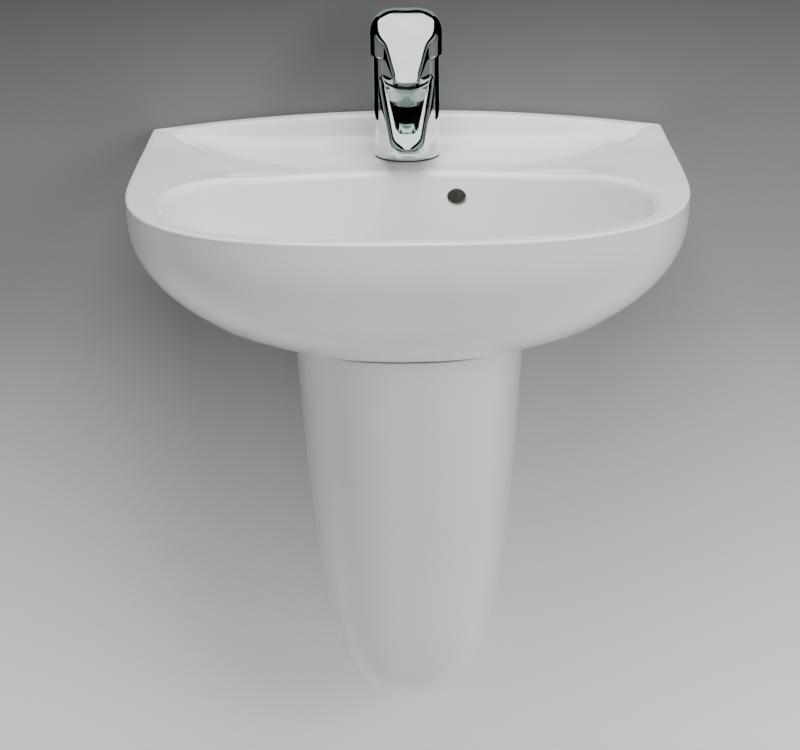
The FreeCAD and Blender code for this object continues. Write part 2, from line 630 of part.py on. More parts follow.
stem = block("stem_bar", "stem_half * 2", "stem_half * 2", "stem_top - stem_low",
             on_tap("stem_low", "stem_half", "-stem_half"))
stem_eye = rod("stem_eye", "pin_r + pin_gap", "stem_half * 4",
               on_tap("pivot_high", "0", "-stem_half * 2"), ACROSS)
node(cut("lever_stem", stem, [stem_eye]), "lever_stem")
node(ring("cartridge_nut", "bore_r - thread_gap", "cart_neck_r + thread_gap", "ring_nut_high",
          on_tap("cart_shoulder")), "cartridge_nut")
node(turned("decor_ring",
            (("decor_hole_r", "0"), ("decor_r", "0"), ("decor_r", "decor_high / 3"),
             ("decor_hole_r + decor_high / 2", "decor_high"), ("decor_hole_r", "decor_high")),
            on_tap("tap_high")), "decor_ring")

# ---- Mixer: lever ----

skirt_r = "tap_r + lever_gap"
lever_r = "tap_r + lever_gap + lever_wall"
tip_top = "lever_top - lever_slope * (lever_nose + crown_back)"
cap = rod("lever_cap", lever_r, "lever_top", TAP)
tongue = slab("lever_tongue", "XY_Plane",
              (("lever_root_half", "0"), ("lever_tip_half", "-lever_nose"),
               ("-lever_tip_half", "-lever_nose"),
               ("-lever_root_half", "0")), "lever_top * 2", TAP)
side_view = slab("lever_side", "YZ_Plane",
                 (("-(%s)" % skirt_r, "tap_high"), (lever_r, "tap_high"),
                  (lever_r, "lever_top - crown_drop"),
                  ("crown_back", "lever_top"), ("-lever_nose", tip_top),
                  ("-lever_nose", tip_top + " - lever_tip_thick")), "lever_top", TAP)
room_side = slab("lever_room_side", "YZ_Plane",
                 (("-(%s)" % lever_r, "tap_high / 2"), (lever_r, "tap_high / 2"),
                  (lever_r, "lever_top - crown_drop - lever_roof"),
                  ("crown_back", "lever_top - lever_roof"),
                  ("-(%s)" % lever_r,
                   "lever_top - lever_roof - lever_slope * (crown_back + %s)" % lever_r)),
                 "lever_top", TAP)
room = shared("lever_room", rod("lever_room_round", skirt_r, "lever_top", TAP), room_side)
boss = block("lever_boss", "boss_half * 2", "boss_half * 2", "lever_top",
             on_tap("boss_low", "boss_half", "-boss_half"))
roomy = cut("lever_hollow", room, [boss])
socket_wide = "(stem_half + pin_gap) * 2"
socket = block("stem_socket", socket_wide, socket_wide, "stem_top + pin_gap - tap_high",
               on_tap("tap_high", "stem_half + pin_gap", "-stem_half - pin_gap"))
screw_way = rod("screw_way", "screw_r", lever_r, on_tap("screw_up"), INTO_WALL)
index_way = rod("index_way", "index_r", lever_r, on_tap("screw_up", "-boss_half - 1"), INTO_WALL)
body = shared("lever_blank", fused("lever_block", [cap, tongue]), side_view)
node(cut("lever", body, [roomy, socket, screw_way, index_way]), "lever")
node(rod("lever_screw", "screw_r - pin_gap", "boss_half - stem_half", on_tap("screw_up", "-stem_half"),
         INTO_WALL), "lever_screw")
node(rod("index_plug", "index_r - pin_gap", "index_thick",
         on_tap("screw_up", "-(%s) + index_sink" % lever_r), INTO_WALL), "index_plug")

# ---- Mixer: fixing under the deck, and the two supply tails ----

under_deck = "-deck_thick"


def clamp(name, thick, drop):
    """A forked round plate under the deck that lets the supply tails past."""
    plate = rod(name + "_plate", "clamp_r", thick, on_tap("%s - (%s)" % (under_deck, drop)))
    fork = block(name + "_fork", "fork_half * 2", "clamp_r + fork_back", "clamp_r",
                 on_tap("%s - clamp_r" % under_deck, "clamp_r", "-fork_half"))
    eye = rod(name + "_eye", "fix_stud_r + tail_gap", "clamp_r",
              on_tap("%s - clamp_r" % under_deck, "-fix_stud_y"))
    return node(cut(name, plate, [fork, eye]), name)


clamp("clamp_seal", "seal_thick", "seal_thick")
clamp("clamp_plate", "clamp_thick", "seal_thick + clamp_thick")
node(rod("tap_stud", "fix_stud_r", "fix_stud_low + foot_high + fix_nut_high / 2",
         on_tap("-fix_stud_low", "-fix_stud_y")), "tap_stud")
node(hex_nut("clamp_nut", "fix_nut_r", "fix_nut_high", "fix_stud_r",
             on_tap("%s - seal_thick - clamp_thick - fix_nut_high" % under_deck, "-fix_stud_y")),
     "clamp_nut")


def tail(sign, radius):
    """One rigid supply tail, from the mixer's foot down and out to its stop valve."""
    top = size(deck_z) + size("foot_high") / 4
    bend = size(deck_z) - size("tail_fall")
    near = (sign * size("tail_x"), -size("tap_y + tail_y"))
    far = (sign * size("valve_x"), -size("riser_y"))
    low = -size("valve_drop") + size("riser_high - cap_lap")
    points = [Vector(*near, top), Vector(*near, bend), Vector(*far, bend - size("tail_run")),
              Vector(*far, low)]
    return swept(points, radius, size("tail_bend_r"))


for label, sign in (("hot_tail", -1), ("cold_tail", 1)):
    wide = formed(label + "_bar", tail(sign, size("tail_r")))
    way = formed(label + "_way", tail(sign, size("tail_r - tail_wall")))
    node(cut(label, wide, [way]), label)


# ---- Stop valves on the wall ----

def valve(label, sign):
    """An angle valve: threaded inlet in the wall, body towards the room, riser upwards."""
    x = sign + "valve_x"
    inlet = rod(label + "_inlet", "inlet_r", "inlet_in_wall", (x, "0", "-valve_drop"), INTO_WALL)
    neck = rod(label + "_neck", "inlet_r - neck_step", "rosette_deep * 2",
               (x, "-rosette_deep * 1.5", "-valve_drop"),
               INTO_WALL)
    barrel = rod(label + "_barrel", "valve_r", "valve_deep - rosette_deep",
                 (x, "-valve_deep", "-valve_drop"), INTO_WALL)
    riser = rod(label + "_riser", "riser_r", "riser_high", (x, "-riser_y", "-valve_drop"))
    bore = rod(label + "_bore", "tail_r + tail_gap", "riser_high",
               (x, "-riser_y", "-valve_drop + riser_r / 2"))
    water = rod(label + "_water", "tail_r", "inlet_in_wall * 4", (x, "-riser_y", "-valve_drop"),
                INTO_WALL)
    gland = rod(label + "_gland", "spindle_r + spindle_gap", "spindle_in + 1",
                (x, "-valve_deep - 1", "-valve_drop"), INTO_WALL)
    node(cut(label, fused(label + "_solid", [inlet, neck, barrel, riser]), [bore, water, gland]), label)


def handle(label, sign):
    """The fluted handle of a stop valve and its spindle, which turn together."""
    x = sign + "valve_x"
    reach = "valve_deep + handle_gap + handle_deep"
    node(rod(label + "_spindle", "spindle_r", "spindle_in + handle_gap + handle_deep / 2",
             (x, "-valve_deep - handle_gap - handle_deep / 2", "-valve_drop"), INTO_WALL),
         label + "_spindle")
    knob = rod(label + "_knob", "handle_r", "handle_deep", (x, "-(%s)" % reach, "-valve_drop"), INTO_WALL)
    tools = [rod(label + "_square", "spindle_r", "handle_deep / 2",
                 (x, "-valve_deep - handle_gap - handle_deep / 2", "-valve_drop"), INTO_WALL)]
    for k in range(int(size("flute_count"))):
        turn = 2 * math.pi * k / size("flute_count")
        tools.append(rod("%s_flute_%d" % (label, k), "flute_r", "handle_deep",
                         ("%svalve_x + handle_r * %.4f" % (sign, math.cos(turn)), "-(%s)" % reach,
                          "-valve_drop + handle_r * %.4f" % math.sin(turn)), INTO_WALL))
    node(cut(label + "_handle", knob, tools), label + "_handle")


def rosette(name, sign):
    """The round cover on the wall round a valve's inlet."""
    return turned(name, (("inlet_r + tail_gap", "0"), ("valve_r", "0"), ("rosette_r", "rosette_edge"),
                         ("rosette_r", "rosette_deep"), ("inlet_r + tail_gap", "rosette_deep")),
                  (sign + "valve_x", "-rosette_deep", "-valve_drop"), INTO_WALL)


def cap_nut(name, sign):
    """The compression nut that holds a supply tail in the riser."""
    outline = (("riser_r", "0"), ("cap_r", "0"), ("cap_r", "cap_high"), ("tail_r + tail_gap", "cap_high"),
               ("tail_r + tail_gap", "cap_lap"), ("riser_r", "cap_lap"))
    return turned(name, outline, (sign + "valve_x", "-riser_y", "-valve_drop + riser_high - cap_lap"))


for label, sign in (("hot", "-"), ("cold", "")):
    valve(label + "_valve", sign)
    handle(label, sign)
twins("valve_rosettes", rosette)
twins("compression_nuts", cap_nut)

# ---- Push-open waste ----


def under_drain(up):
    """A place on the drain's axis, measured up from the bowl's floor."""
    return ("0", "-drain_y", "%s + (%s)" % (floor_z, up))


mouth = "waste_r - waste_wall"
node(turned("waste_flange",
            (("waste_mouth_r", "0"), ("waste_flange_r", "0"), ("waste_flange_r", "-seat_deep"),
             ("waste_r", "-seat_deep"), ("waste_r", "-seat_deep - waste_long"),
             (mouth, "-seat_deep - waste_long"),
             (mouth, "-seat_deep"), ("waste_mouth_r", "-seat_deep")), under_drain("0")), "waste_flange")
node(ring("waste_seal", "waste_seal_r", "waste_r + tail_gap", "waste_seal_high",
          under_drain("-boss_deep - waste_seal_high")), "waste_seal")
node(ring("waste_nut", "waste_nut_r", "waste_r + thread_gap", "waste_nut_high",
          under_drain("-boss_deep - waste_seal_high - waste_nut_high")), "waste_nut")
hub = rod("guide_hub", "guide_r", "guide_high", under_drain("-guide_top - guide_high"))
arm_long = "(%s) * 2 - tail_gap" % mouth
arm_z = floor_z + " - guide_top - arm_high"
arm_x = block("guide_arm_x", arm_long, "arm_wide", "arm_high",
              ("-(%s) + tail_gap / 2" % mouth, "-drain_y - arm_wide / 2", arm_z))
arm_y = block("guide_arm_y", "arm_wide", arm_long, "arm_high",
              ("-arm_wide / 2", "-drain_y - (%s) + tail_gap / 2" % mouth, arm_z))
guide_bore = rod("guide_bore", "plug_stem_r + guide_gap", "guide_high * 2",
                 under_drain("-guide_top - guide_high * 1.5"))
node(cut("plug_guide", fused("guide_cross", [hub, arm_x, arm_y]), [guide_bore]), "plug_guide")
node(turned("plug",
            (("0", "-plug_stem_long"), ("plug_stem_r", "-plug_stem_long"), ("plug_stem_r", "0"),
             ("plug_cap_r", "0"), ("plug_cap_r", "plug_cap_high / 3"),
             ("plug_cap_r * plug_crown", "plug_shoulder"), ("0", "plug_cap_high")),
            under_drain("plug_lift")), "plug")
node(ring("plug_seal", "plug_cap_r - plug_seal_thick", "waste_mouth_r - plug_seal_thick",
          "plug_seal_thick",
          under_drain("plug_lift - plug_seal_thick")), "plug_seal")

# ---- Bottle trap ----

waste_end = "rim_rise - bowl_deep - seat_deep - waste_long"


def on_drain(high):
    """A place on the drain's axis at a height."""
    return ("0", "-drain_y", high)


pipe_in = "trap_pipe_r - pipe_wall"
node(turned("inlet_pipe",
            ((pipe_in, "-dip_low"), ("trap_pipe_r", "-dip_low"),
             ("trap_pipe_r", waste_end + " - collar_thick"),
             ("collar_r", waste_end + " - collar_thick"), ("collar_r", waste_end), (pipe_in, waste_end)),
            on_drain("0")), "inlet_pipe")
node(turned("coupling_nut",
            (("waste_r + thread_gap", "0"), ("coupling_r", "0"), ("coupling_r", "-coupling_high"),
             ("trap_pipe_r + tail_gap", "-coupling_high"),
             ("trap_pipe_r + tail_gap", "-coupling_high / 2 - collar_thick"),
             ("waste_r + thread_gap", "-coupling_high / 2 - collar_thick")),
            on_drain(waste_end + " + coupling_high / 2")), "coupling_nut")
bottle = turned("trap_bottle",
                (("trap_pipe_r + tail_gap", "0"), ("trap_r", "0"), ("trap_r", "-trap_head_high"),
                 ("trap_r - trap_wall", "-trap_head_high"), ("trap_r - trap_wall", "-trap_wall"),
                 ("trap_pipe_r + tail_gap", "-trap_wall")), on_drain("-trap_head_top"))
branch = rod("trap_branch", "branch_r", "branch_reach", ("0", "-drain_y", "-outlet_drop"), INTO_WALL)
branch_way = rod("trap_branch_way", "trap_pipe_r", "branch_reach * 2", ("0", "-drain_y", "-outlet_drop"),
                 INTO_WALL)
inside = rod("trap_inside", "trap_r - trap_wall", "trap_head_high - trap_wall",
             on_drain("-trap_head_top - trap_head_high"))
outer_branch = cut("trap_branch_end", branch, [inside])
node(cut("trap_head", fused("trap_casting", [bottle, outer_branch]), [branch_way]), "trap_head")
node(ring("trap_gland", "gland_r", "trap_pipe_r + tail_gap", "gland_high", on_drain("-trap_head_top")),
     "trap_gland")
lap = "-trap_head_top - trap_head_high + cup_lap"
node(turned("trap_cup",
            (("0", "-cup_high"), ("cup_r * cup_foot", "-cup_high"), ("cup_r", "-cup_turn"),
             ("cup_r", "0"),
             ("trap_r + thread_gap", "0"), ("trap_r + thread_gap", "-cup_inner_turn"),
             ("trap_r * cup_inner_foot", "-cup_high + trap_wall"), ("0", "-cup_high + trap_wall")),
            on_drain(lap)), "trap_cup")
branch_end = "drain_y - branch_reach"
pipe_start = "-(%s) - outlet_nut_long / 2" % branch_end
node(turned("outlet_pipe",
            ((pipe_in, "0"), ("trap_pipe_r - tail_gap", "0"),
             ("trap_pipe_r - tail_gap", "-(%s)" % pipe_start), ("trap_pipe_r", "-(%s)" % pipe_start),
             ("trap_pipe_r", "outlet_in_wall - (%s)" % pipe_start),
             (pipe_in, "outlet_in_wall - (%s)" % pipe_start)),
            ("0", pipe_start, "-outlet_drop"), INTO_WALL), "outlet_pipe")
node(turned("outlet_nut",
            (("branch_r + thread_gap", "0"), ("branch_r + pipe_wall * 2", "0"),
             ("branch_r + pipe_wall * 2", "outlet_nut_long"),
             ("trap_pipe_r + tail_gap", "outlet_nut_long"),
             ("trap_pipe_r + tail_gap", "outlet_nut_long / 2"),
             ("branch_r + thread_gap", "outlet_nut_long / 2")),
            ("0", pipe_start, "-outlet_drop"), INTO_WALL), "outlet_nut")
node(turned("outlet_rosette",
            (("trap_pipe_r + tail_gap", "0"), ("branch_r", "0"), ("flange_r", "flange_edge"),
             ("flange_r", "flange_deep"), ("trap_pipe_r + tail_gap", "flange_deep")),
            ("0", "-flange_deep", "-outlet_drop"), INTO_WALL), "outlet_rosette")

# ---- Check and write ----

doc.recompute()
for item in doc.Objects:
    if "Invalid" in item.State or "Error" in item.State:
        raise RuntimeError("%s failed: %s" % (item.Label, item.State))
os.makedirs("parts", exist_ok=True)
for item in NODES:
    if item.Shape.isNull() or not item.Shape.isValid():
        raise RuntimeError("%s has no valid shape" % item.Label)
    item.Shape.exportStep("parts/%s.step" % item.Label)
    print(item.Label, len(item.Shape.Solids), round(item.Shape.Volume))
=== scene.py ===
"""Blender scene of the wall-hung washbasin: glazed china, chrome mixer, waste, trap and fixings.

Sizes are in millimetres and repeat the names of the part's own source; MM turns them into metres.
x runs to the right, y into the wall, z up, from the middle of the wall studs on the wall plane.
"""
import json
import math

import bmesh
import bpy
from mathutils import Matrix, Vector


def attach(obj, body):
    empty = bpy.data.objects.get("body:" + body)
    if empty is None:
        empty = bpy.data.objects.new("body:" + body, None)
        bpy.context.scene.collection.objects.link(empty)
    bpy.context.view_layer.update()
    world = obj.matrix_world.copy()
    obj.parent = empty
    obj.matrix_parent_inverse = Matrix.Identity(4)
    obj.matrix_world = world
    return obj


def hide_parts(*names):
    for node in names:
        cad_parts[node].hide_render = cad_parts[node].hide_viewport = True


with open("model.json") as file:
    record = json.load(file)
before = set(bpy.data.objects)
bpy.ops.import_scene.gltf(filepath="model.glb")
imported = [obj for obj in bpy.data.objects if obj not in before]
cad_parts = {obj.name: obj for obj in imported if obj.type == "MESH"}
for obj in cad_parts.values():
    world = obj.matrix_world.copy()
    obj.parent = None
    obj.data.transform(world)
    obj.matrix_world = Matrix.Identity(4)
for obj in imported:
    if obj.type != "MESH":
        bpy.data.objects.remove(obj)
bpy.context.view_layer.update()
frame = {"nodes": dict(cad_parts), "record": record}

MM = 0.001

# ---- Driving sizes ----

RIM = 62
HALF_WIDTH = 260
DEPTH = 410
HULL_DEEP = 168
APRON = 18
NOSE = 24
TOE = 150
SIDE = 180
PINCH = 4
HULL_POWER = 2.9
HULL_POWER_LOSS = 0.5
HULL_SLACK = 1.02
WALL = 11
BACK_WALL = 14
BOWL_HALF = 221
BOWL_FRONT = 125
BOWL_BACK = 124
BOWL_MIDDLE = -264
BOWL_DEEP = 138
FLOOR_R = 36
DRAIN_Y = -205
DRAIN_R = 24
SEAT_R = 33
SEAT_DEEP = 3
BOSS_R = 38
BOSS_LOW = -110
LIP_HIGH = 20
LIP_END = 3
DECK_DROP = 8
TAP_Y = -72
OVERFLOW = Vector((47, -141, 28))
OVERFLOW_R = 9.5
DUCT_WALL = 4
SERVICE_HALF = 72
SERVICE_MIDDLE = -126
SERVICE_FRONT = 238
BOWL_FALL = 2.5
BOWL_ROUND = 2.3
ROW_SPREAD = 0.8
WALL_HOLE_X = 140
WALL_HOLE_R = 7.3
TAP_HOLE_R = 17.5


# ---- Mesh helpers ----

def lattice(rings, around=True, looped=False):
    """Points and four-sided faces that join rings of the same count."""
    count = len(rings[0])
    points = [point for ring in rings for point in ring]
    faces = []
    for row in range(len(rings) - (0 if looped else 1)):
        here = row * count
        there = (row + 1) % len(rings) * count
        for k in range(count if around else count - 1):
            beside = (k + 1) % count
            faces.append((here + k, here + beside, there + beside, there + k))
    return points, faces


def finish_mesh(mesh, sharp):
    """Joins points that meet, turns the faces outwards and shades the mesh."""
    work = bmesh.new()
    work.from_mesh(mesh)
    bmesh.ops.remove_doubles(work, verts=work.verts, dist=1e-6)
    bmesh.ops.dissolve_degenerate(work, edges=work.edges, dist=1e-7)
    bmesh.ops.recalc_face_normals(work, faces=work.faces)
    work.to_mesh(mesh)
    work.free()
    mesh.shade_smooth()
    mesh.set_sharp_from_angle(angle=math.radians(sharp))


def new_piece(name, points, faces, sharp=38):
    """An object from points in millimetres."""
    mesh = bpy.data.meshes.new(name)
    mesh.from_pydata([Vector(point) * MM for point in points], [], faces)
    finish_mesh(mesh, sharp)
    piece = bpy.data.objects.new(name, mesh)
    bpy.context.scene.collection.objects.link(piece)
    return piece


def dress(piece, material, slot, body, *nodes):
    """Gives a piece its finish, its body and the nodes it stands for."""
    piece.data.materials.clear()
    piece.data.materials.append(material)
    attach(piece, body)
    if nodes:
        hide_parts(*nodes)
    return piece


def cylinder(radius, low, high, axis="Z", steps=64):
    """A plain cylinder for cutting, from one point to another along an axis."""
    turn = {"Z": lambda a, b: (a, b, 0), "Y": lambda a, b: (a, 0, b)}[axis]
    rings = []
    for end in (low, high):
        ring = []
        for k in range(steps):
            angle = 2 * math.pi * k / steps
            ring.append(Vector(turn(radius * math.cos(angle), radius * math.sin(angle))) + Vector(end))
        rings.append(ring)
    points, faces = lattice(rings)
    faces.append(tuple(range(steps)))
    faces.append(tuple(range(steps, 2 * steps)))
    return new_piece("cutter", points, faces)


def carve(piece, cutters, sharp=38):
    """Cuts the cutters out of a piece for good."""
    for cutter in cutters:
        modifier = piece.modifiers.new("carve", "BOOLEAN")
        modifier.operation = "DIFFERENCE"
        modifier.solver = "EXACT"
        modifier.object = cutter
    bpy.context.view_layer.update()
    depsgraph = bpy.context.evaluated_depsgraph_get()
    mesh = bpy.data.meshes.new_from_object(piece.evaluated_get(depsgraph))
    piece.modifiers.clear()
    piece.data = mesh
    finish_mesh(mesh, sharp)
    for cutter in cutters:
        bpy.data.objects.remove(cutter)
    return piece


def mix(a, b, share):
    """A value part of the way from one to another."""
    return a + (b - a) * share


def smooth(value):
    """A soft step from 0 to 1."""
    value = min(1.0, max(0.0, value))
    return value * value * (3 - 2 * value)


def power_point(angle, half, reach, power):
    """A point of a superellipse about its own centre."""
    across = abs(math.cos(angle)) ** (2 / power) * half
    along = abs(math.sin(angle)) ** (2 / power) * reach
    return math.copysign(across, math.cos(angle)), math.copysign(along, math.sin(angle))


def even_angles(half, reach, power, steps):
    """Angles that divide half a superellipse into equal lengths."""
    fine = 3000
    spots = [power_point(math.pi * k / fine, half, reach, power) for k in range(fine + 1)]
    lengths = [0.0]
    for a, b in zip(spots, spots[1:]):
        lengths.append(lengths[-1] + math.dist(a, b))
    angles = []
    mark = 0
    for k in range(steps + 1):
        target = lengths[-1] * k / steps
        while mark < fine and lengths[mark] < target:
            mark += 1
        angles.append(math.pi * mark / fine)
    return angles


# ---- Basin ----

def hull_sizes(drop, grow=0.0):
    """Half width, front, side run, squareness and pinch of the hull at a drop below the rim."""
    bottom = HULL_DEEP + grow
    sine = min(0.999, max(0.0, (drop - APRON) / (bottom - APRON)))
    narrow = math.sqrt(1 - sine * sine)
    fall = max(0.0, drop - NOSE) / (bottom * HULL_SLACK - NOSE)
    toe = TOE + grow
    deep = DEPTH + grow
    front = toe + (deep - toe) * math.sqrt(max(0.0, 1 - fall * fall))
    power = HULL_POWER - HULL_POWER_LOSS * drop / bottom
    return (HALF_WIDTH + grow) * narrow, front, SIDE * front / deep, power, PINCH * narrow


def hull_point(station, drop):
    """A point of the hull's outline at a station."""
    kind, along = station
    half, front, side, power, pinch = hull_sizes(drop)
    if kind == "back":
        return along * (half - pinch), 0.0
    if kind == "front":
        across, out = power_point(along, half, front - side, power)
        return across, -side - out
    across = half - pinch * (1 - along) ** 2
    return (across if kind == "right" else -across), -side * along


def hull_holds(x, y, drop, grow, wall):
    """Whether a point is inside the hull's outline at a drop."""
    half, front, side, power, pinch = hull_sizes(drop, grow)
    if y > wall:
        return False
    if y > -side:
        return abs(x) < half - pinch * (1 + y / side) ** 2
    return abs(x / half) ** power + abs((y + side) / (front - side)) ** power < 1


def ray_length(aim, holds, longest=420.0):
    """How far a ray from the drain stays inside an outline."""
    near, far = 0.0, longest
    for _ in range(34):
        reach = (near + far) / 2
        if holds(aim[0] * reach, DRAIN_Y + aim[1] * reach):
            near = reach
        else:
            far = reach
    return near


def oval(half, front, back, middle, front_power=2.7, back_power=2.1):
    """The inside test of an oval."""
    def holds(x, y):
        up = y - middle
        long, power = (back, back_power) if up > 0 else (front, front_power)
        return abs(x / half) ** power + abs(up / long) ** power < 1
    return holds


def bowl_oval(part, grow=0.0):
    """The bowl's outline at a part of its depth."""
    inside = max(0.0, 1 - part ** BOWL_FALL) ** (1 / BOWL_ROUND)
    flat = FLOOR_R + grow
    half, front, back = (mix(flat, full + grow, inside) for full in (BOWL_HALF, BOWL_FRONT, BOWL_BACK))
    return oval(half, front, back, mix(BOWL_MIDDLE, DRAIN_Y, part ** 2))


def rim_level(x, y):
    """The height of the rim and of the slightly lower deck behind the bowl."""
    across = smooth((218 - abs(x)) / 80)
    along = smooth((y + 215) / 85)
    return RIM - DECK_DROP * across * along


def lip_crown(x):
    """How far the lip's arched top stands above the rim."""
    return LIP_HIGH - (LIP_HIGH - LIP_END) * (x / (HALF_WIDTH - PINCH)) ** 2


def make_stations():
    """The stations round the basin, at about equal steps along its rim."""
    sides = 28
    half, front, side, power, _ = hull_sizes(0.0)
    stations = [("right", k / sides) for k in range(sides)]
    stations += [("front", angle) for angle in even_angles(half, front - side, power, 132)]
    stations += [("left", k / sides) for k in range(sides - 1, -1, -1)]
    back = 88
    stations += [("back", 2 * k / back - 1) for k in range(1, back)]
    return stations


EDGE = 8.0
CREASE = 2.2
LIP_FOOT = 32
# the lip's section: distance from the wall, and share of its height
LIP_PROFILE = ((LIP_FOOT, 0), (27.9, 0.026), (24.3, 0.1), (21.6, 0.214), (20.4, 0.318), (20, 0.43),
               (18.6, 0.857), (18.1, 0.93), (16.8, 0.98), (14.8, 1), (9, 1), (4, 1))
DECK_SHARES = (0.8, 0.6, 0.4, 0.2, 0.08)


def basin_rings():
    """The whole glazed surface as rings about the drain: bowl, rim, hull, and the skins inside them."""
    columns = []
    for station in make_stations():
        kind, along = station
        rim = Vector(hull_point(station, 0.0))
        ray = rim - Vector((0, DRAIN_Y))
        full = ray.length
        aim = tuple(ray / full)

        def spot(reach, level):
            return (aim[0] * reach, DRAIN_Y + aim[1] * reach, level)

        column = [spot(DRAIN_R, BOSS_LOW), spot(DRAIN_R, RIM - BOWL_DEEP - SEAT_DEEP)]
        column += [spot(SEAT_R, RIM - BOWL_DEEP - SEAT_DEEP), spot(SEAT_R, RIM - BOWL_DEEP - 0.6)]
        column.append(spot(SEAT_R + 0.6, RIM - BOWL_DEEP))
        # the rounded edge between bowl and rim decides how high the bowl's wall goes
        edge = ray_length(aim, oval(BOWL_HALF + EDGE, BOWL_FRONT + EDGE, BOWL_BACK + EDGE, BOWL_MIDDLE))
        edge_top = rim_level(aim[0] * edge, DRAIN_Y + aim[1] * edge)
        start = math.asin(((RIM - edge_top + EDGE) / BOWL_DEEP) ** (1 / ROW_SPREAD))
        rows = 30
        for k in range(rows, -1, -1):
            part = math.sin(mix(start, math.pi / 2, k / rows)) ** ROW_SPREAD
            column.append(spot(ray_length(aim, bowl_oval(part)), RIM - BOWL_DEEP * part))
        for k in range(1, 7):
            turn = math.pi / 2 * k / 6
            grow = EDGE * (1 - math.cos(turn))
            mouth = oval(BOWL_HALF + grow, BOWL_FRONT + grow, BOWL_BACK + grow, BOWL_MIDDLE)
            reach = ray_length(aim, mouth)
            column.append(spot(reach, edge_top - EDGE * (1 - math.sin(turn))))
        # deck and lip behind, plain rim at the sides and in front
        fade = {"back": 1.0, "front": 0.0}.get(kind, smooth(1 - along / 0.4))
        crown_end = LIP_END * fade
        depth = max(60.0, -(DRAIN_Y + aim[1] * edge))
        profile = [(LIP_FOOT + (depth - LIP_FOOT) * share, 0) for share in DECK_SHARES]
        profile += LIP_PROFILE
        inset = CREASE if kind != "back" else CREASE / aim[1]
        last = 1 - inset / (full - edge)
        for k, (off_wall, lift) in enumerate(profile):
            by_wall = min(1 - off_wall / depth, last)
            evenly = last * (k + 1) / (len(profile) + 1)
            reach = mix(edge, full, mix(evenly, by_wall, fade))
            x, y, _ = spot(reach, 0)
            crown = RIM + (lip_crown(x) if kind == "back" else crown_end)
            column.append((x, y, mix(rim_level(x, y), crown, lift)))
        crown = RIM + (lip_crown(rim.x) if kind == "back" else crown_end)
        for turn in (0, 30, 60, 90):
            slope = math.radians(turn)
            inward = inset * (1 - math.sin(slope))
            column.append(spot(full - inward, crown - CREASE * (1 - math.cos(slope))))
        # the outside of the hull
        drops = [3, 6, 9, 12, 15, APRON]
        drops += [APRON + (HULL_DEEP - APRON) * math.sin(math.radians(turn)) for turn in range(5, 70, 4)]
        for drop in drops:
            x, y = hull_point(station, drop)
            column.append((x, y, RIM - drop))
        # the service opening and the inside of the hull
        front, back = SERVICE_FRONT + SERVICE_MIDDLE, -SERVICE_MIDDLE - BACK_WALL
        service = oval(SERVICE_HALF, front, back, SERVICE_MIDDLE, 8, 8)
        reach = ray_length(aim, service)
        column += [spot(reach, -100.5), spot(reach, -90.5)]
        roof = RIM - DECK_DROP - WALL
        skin_deep = BOWL_DEEP + WALL

        def skin_at(level):
            part = (RIM - level) / skin_deep
            return ray_length(aim, bowl_oval(part, WALL))

        inner_deep = HULL_DEEP - WALL - APRON
        drops = [APRON + inner_deep * math.sin(math.radians(turn)) for turn in range(66, 4, -5)]
        drops.append(RIM - roof)
        for drop in drops:
            reach = ray_length(aim, lambda x, y: hull_holds(x, y, drop, -WALL, -BACK_WALL))
            column.append(spot(max(reach, skin_at(RIM - drop) + 0.6), RIM - drop))
        start = math.asin(((RIM - roof) / skin_deep) ** (1 / ROW_SPREAD))
        rows = 14
        for k in range(rows + 1):
            part = math.sin(mix(start, math.pi / 2, k / rows)) ** ROW_SPREAD
            column.append(spot(ray_length(aim, bowl_oval(part, WALL)), RIM - skin_deep * part))
        column += [spot(BOSS_R, RIM - skin_deep), spot(BOSS_R, BOSS_LOW)]
        columns.append(column)
    return [list(ring) for ring in zip(*columns)]


def tube(name, route, radius, bore, steps=40):
    """A hollow tube along points that are already smooth."""
    rings_out = []
    rings_in = []
    for k, point in enumerate(route):
        before = route[max(0, k - 1)]
        after = route[min(len(route) - 1, k + 1)]
        heading = (after - before).normalized()
        side = heading.cross(Vector((0, 0.3, 1))).normalized()
        up = side.cross(heading)
        for size, rings in ((radius, rings_out), (bore, rings_in)):
            rings.append([point + side * size * math.cos(2 * math.pi * j / steps)
                          + up * size * math.sin(2 * math.pi * j / steps) for j in range(steps)])
    points, faces = lattice(rings_out + rings_in[::-1], looped=True)
    return new_piece(name, points, faces)


def rounded_route(corners, soft, steps=8):
    """Points along straight runs whose corners are softened."""
    route = [corners[0]]
    for before, corner, after in zip(corners, corners[1:], corners[2:]):
        start = corner + (before - corner).normalized() * soft
        end = corner + (after - corner).normalized() * soft
        for k in range(steps + 1):
            share = k / steps
            route.append(start * (1 - share) ** 2 + corner * 2 * share * (1 - share) + end * share ** 2)
    route.append(corners[-1])
    return route


def make_basin(china):
    """The basin and its overflow duct."""
    points, faces = lattice(basin_rings(), looped=True)
    basin = new_piece("basin_glazed", points, faces)
    cutters = [cylinder(OVERFLOW_R, OVERFLOW + Vector((0, -20, 0)), OVERFLOW + Vector((0, 16, 0)), "Y"),
               cylinder(TAP_HOLE_R, (0, TAP_Y, RIM - 32), (0, TAP_Y, RIM + 4))]
    for x in (-WALL_HOLE_X, WALL_HOLE_X):
        cutters.append(cylinder(WALL_HOLE_R, (x, -BACK_WALL - 4, 0), (x, 4, 0), "Y", 40))
    carve(basin, cutters)
    dress(basin, china, "china", "root", "basin")
    corners = [OVERFLOW + Vector((0, 7, 0)), Vector((47, -106, 28)), Vector((23.5, -106, -84)),
               Vector((7.5, -176, -93))]
    duct = tube("overflow_duct", rounded_route(corners, 22), OVERFLOW_R + DUCT_WALL, OVERFLOW_R - 0.3)
    dress(duct, china, "china", "root", "basin")


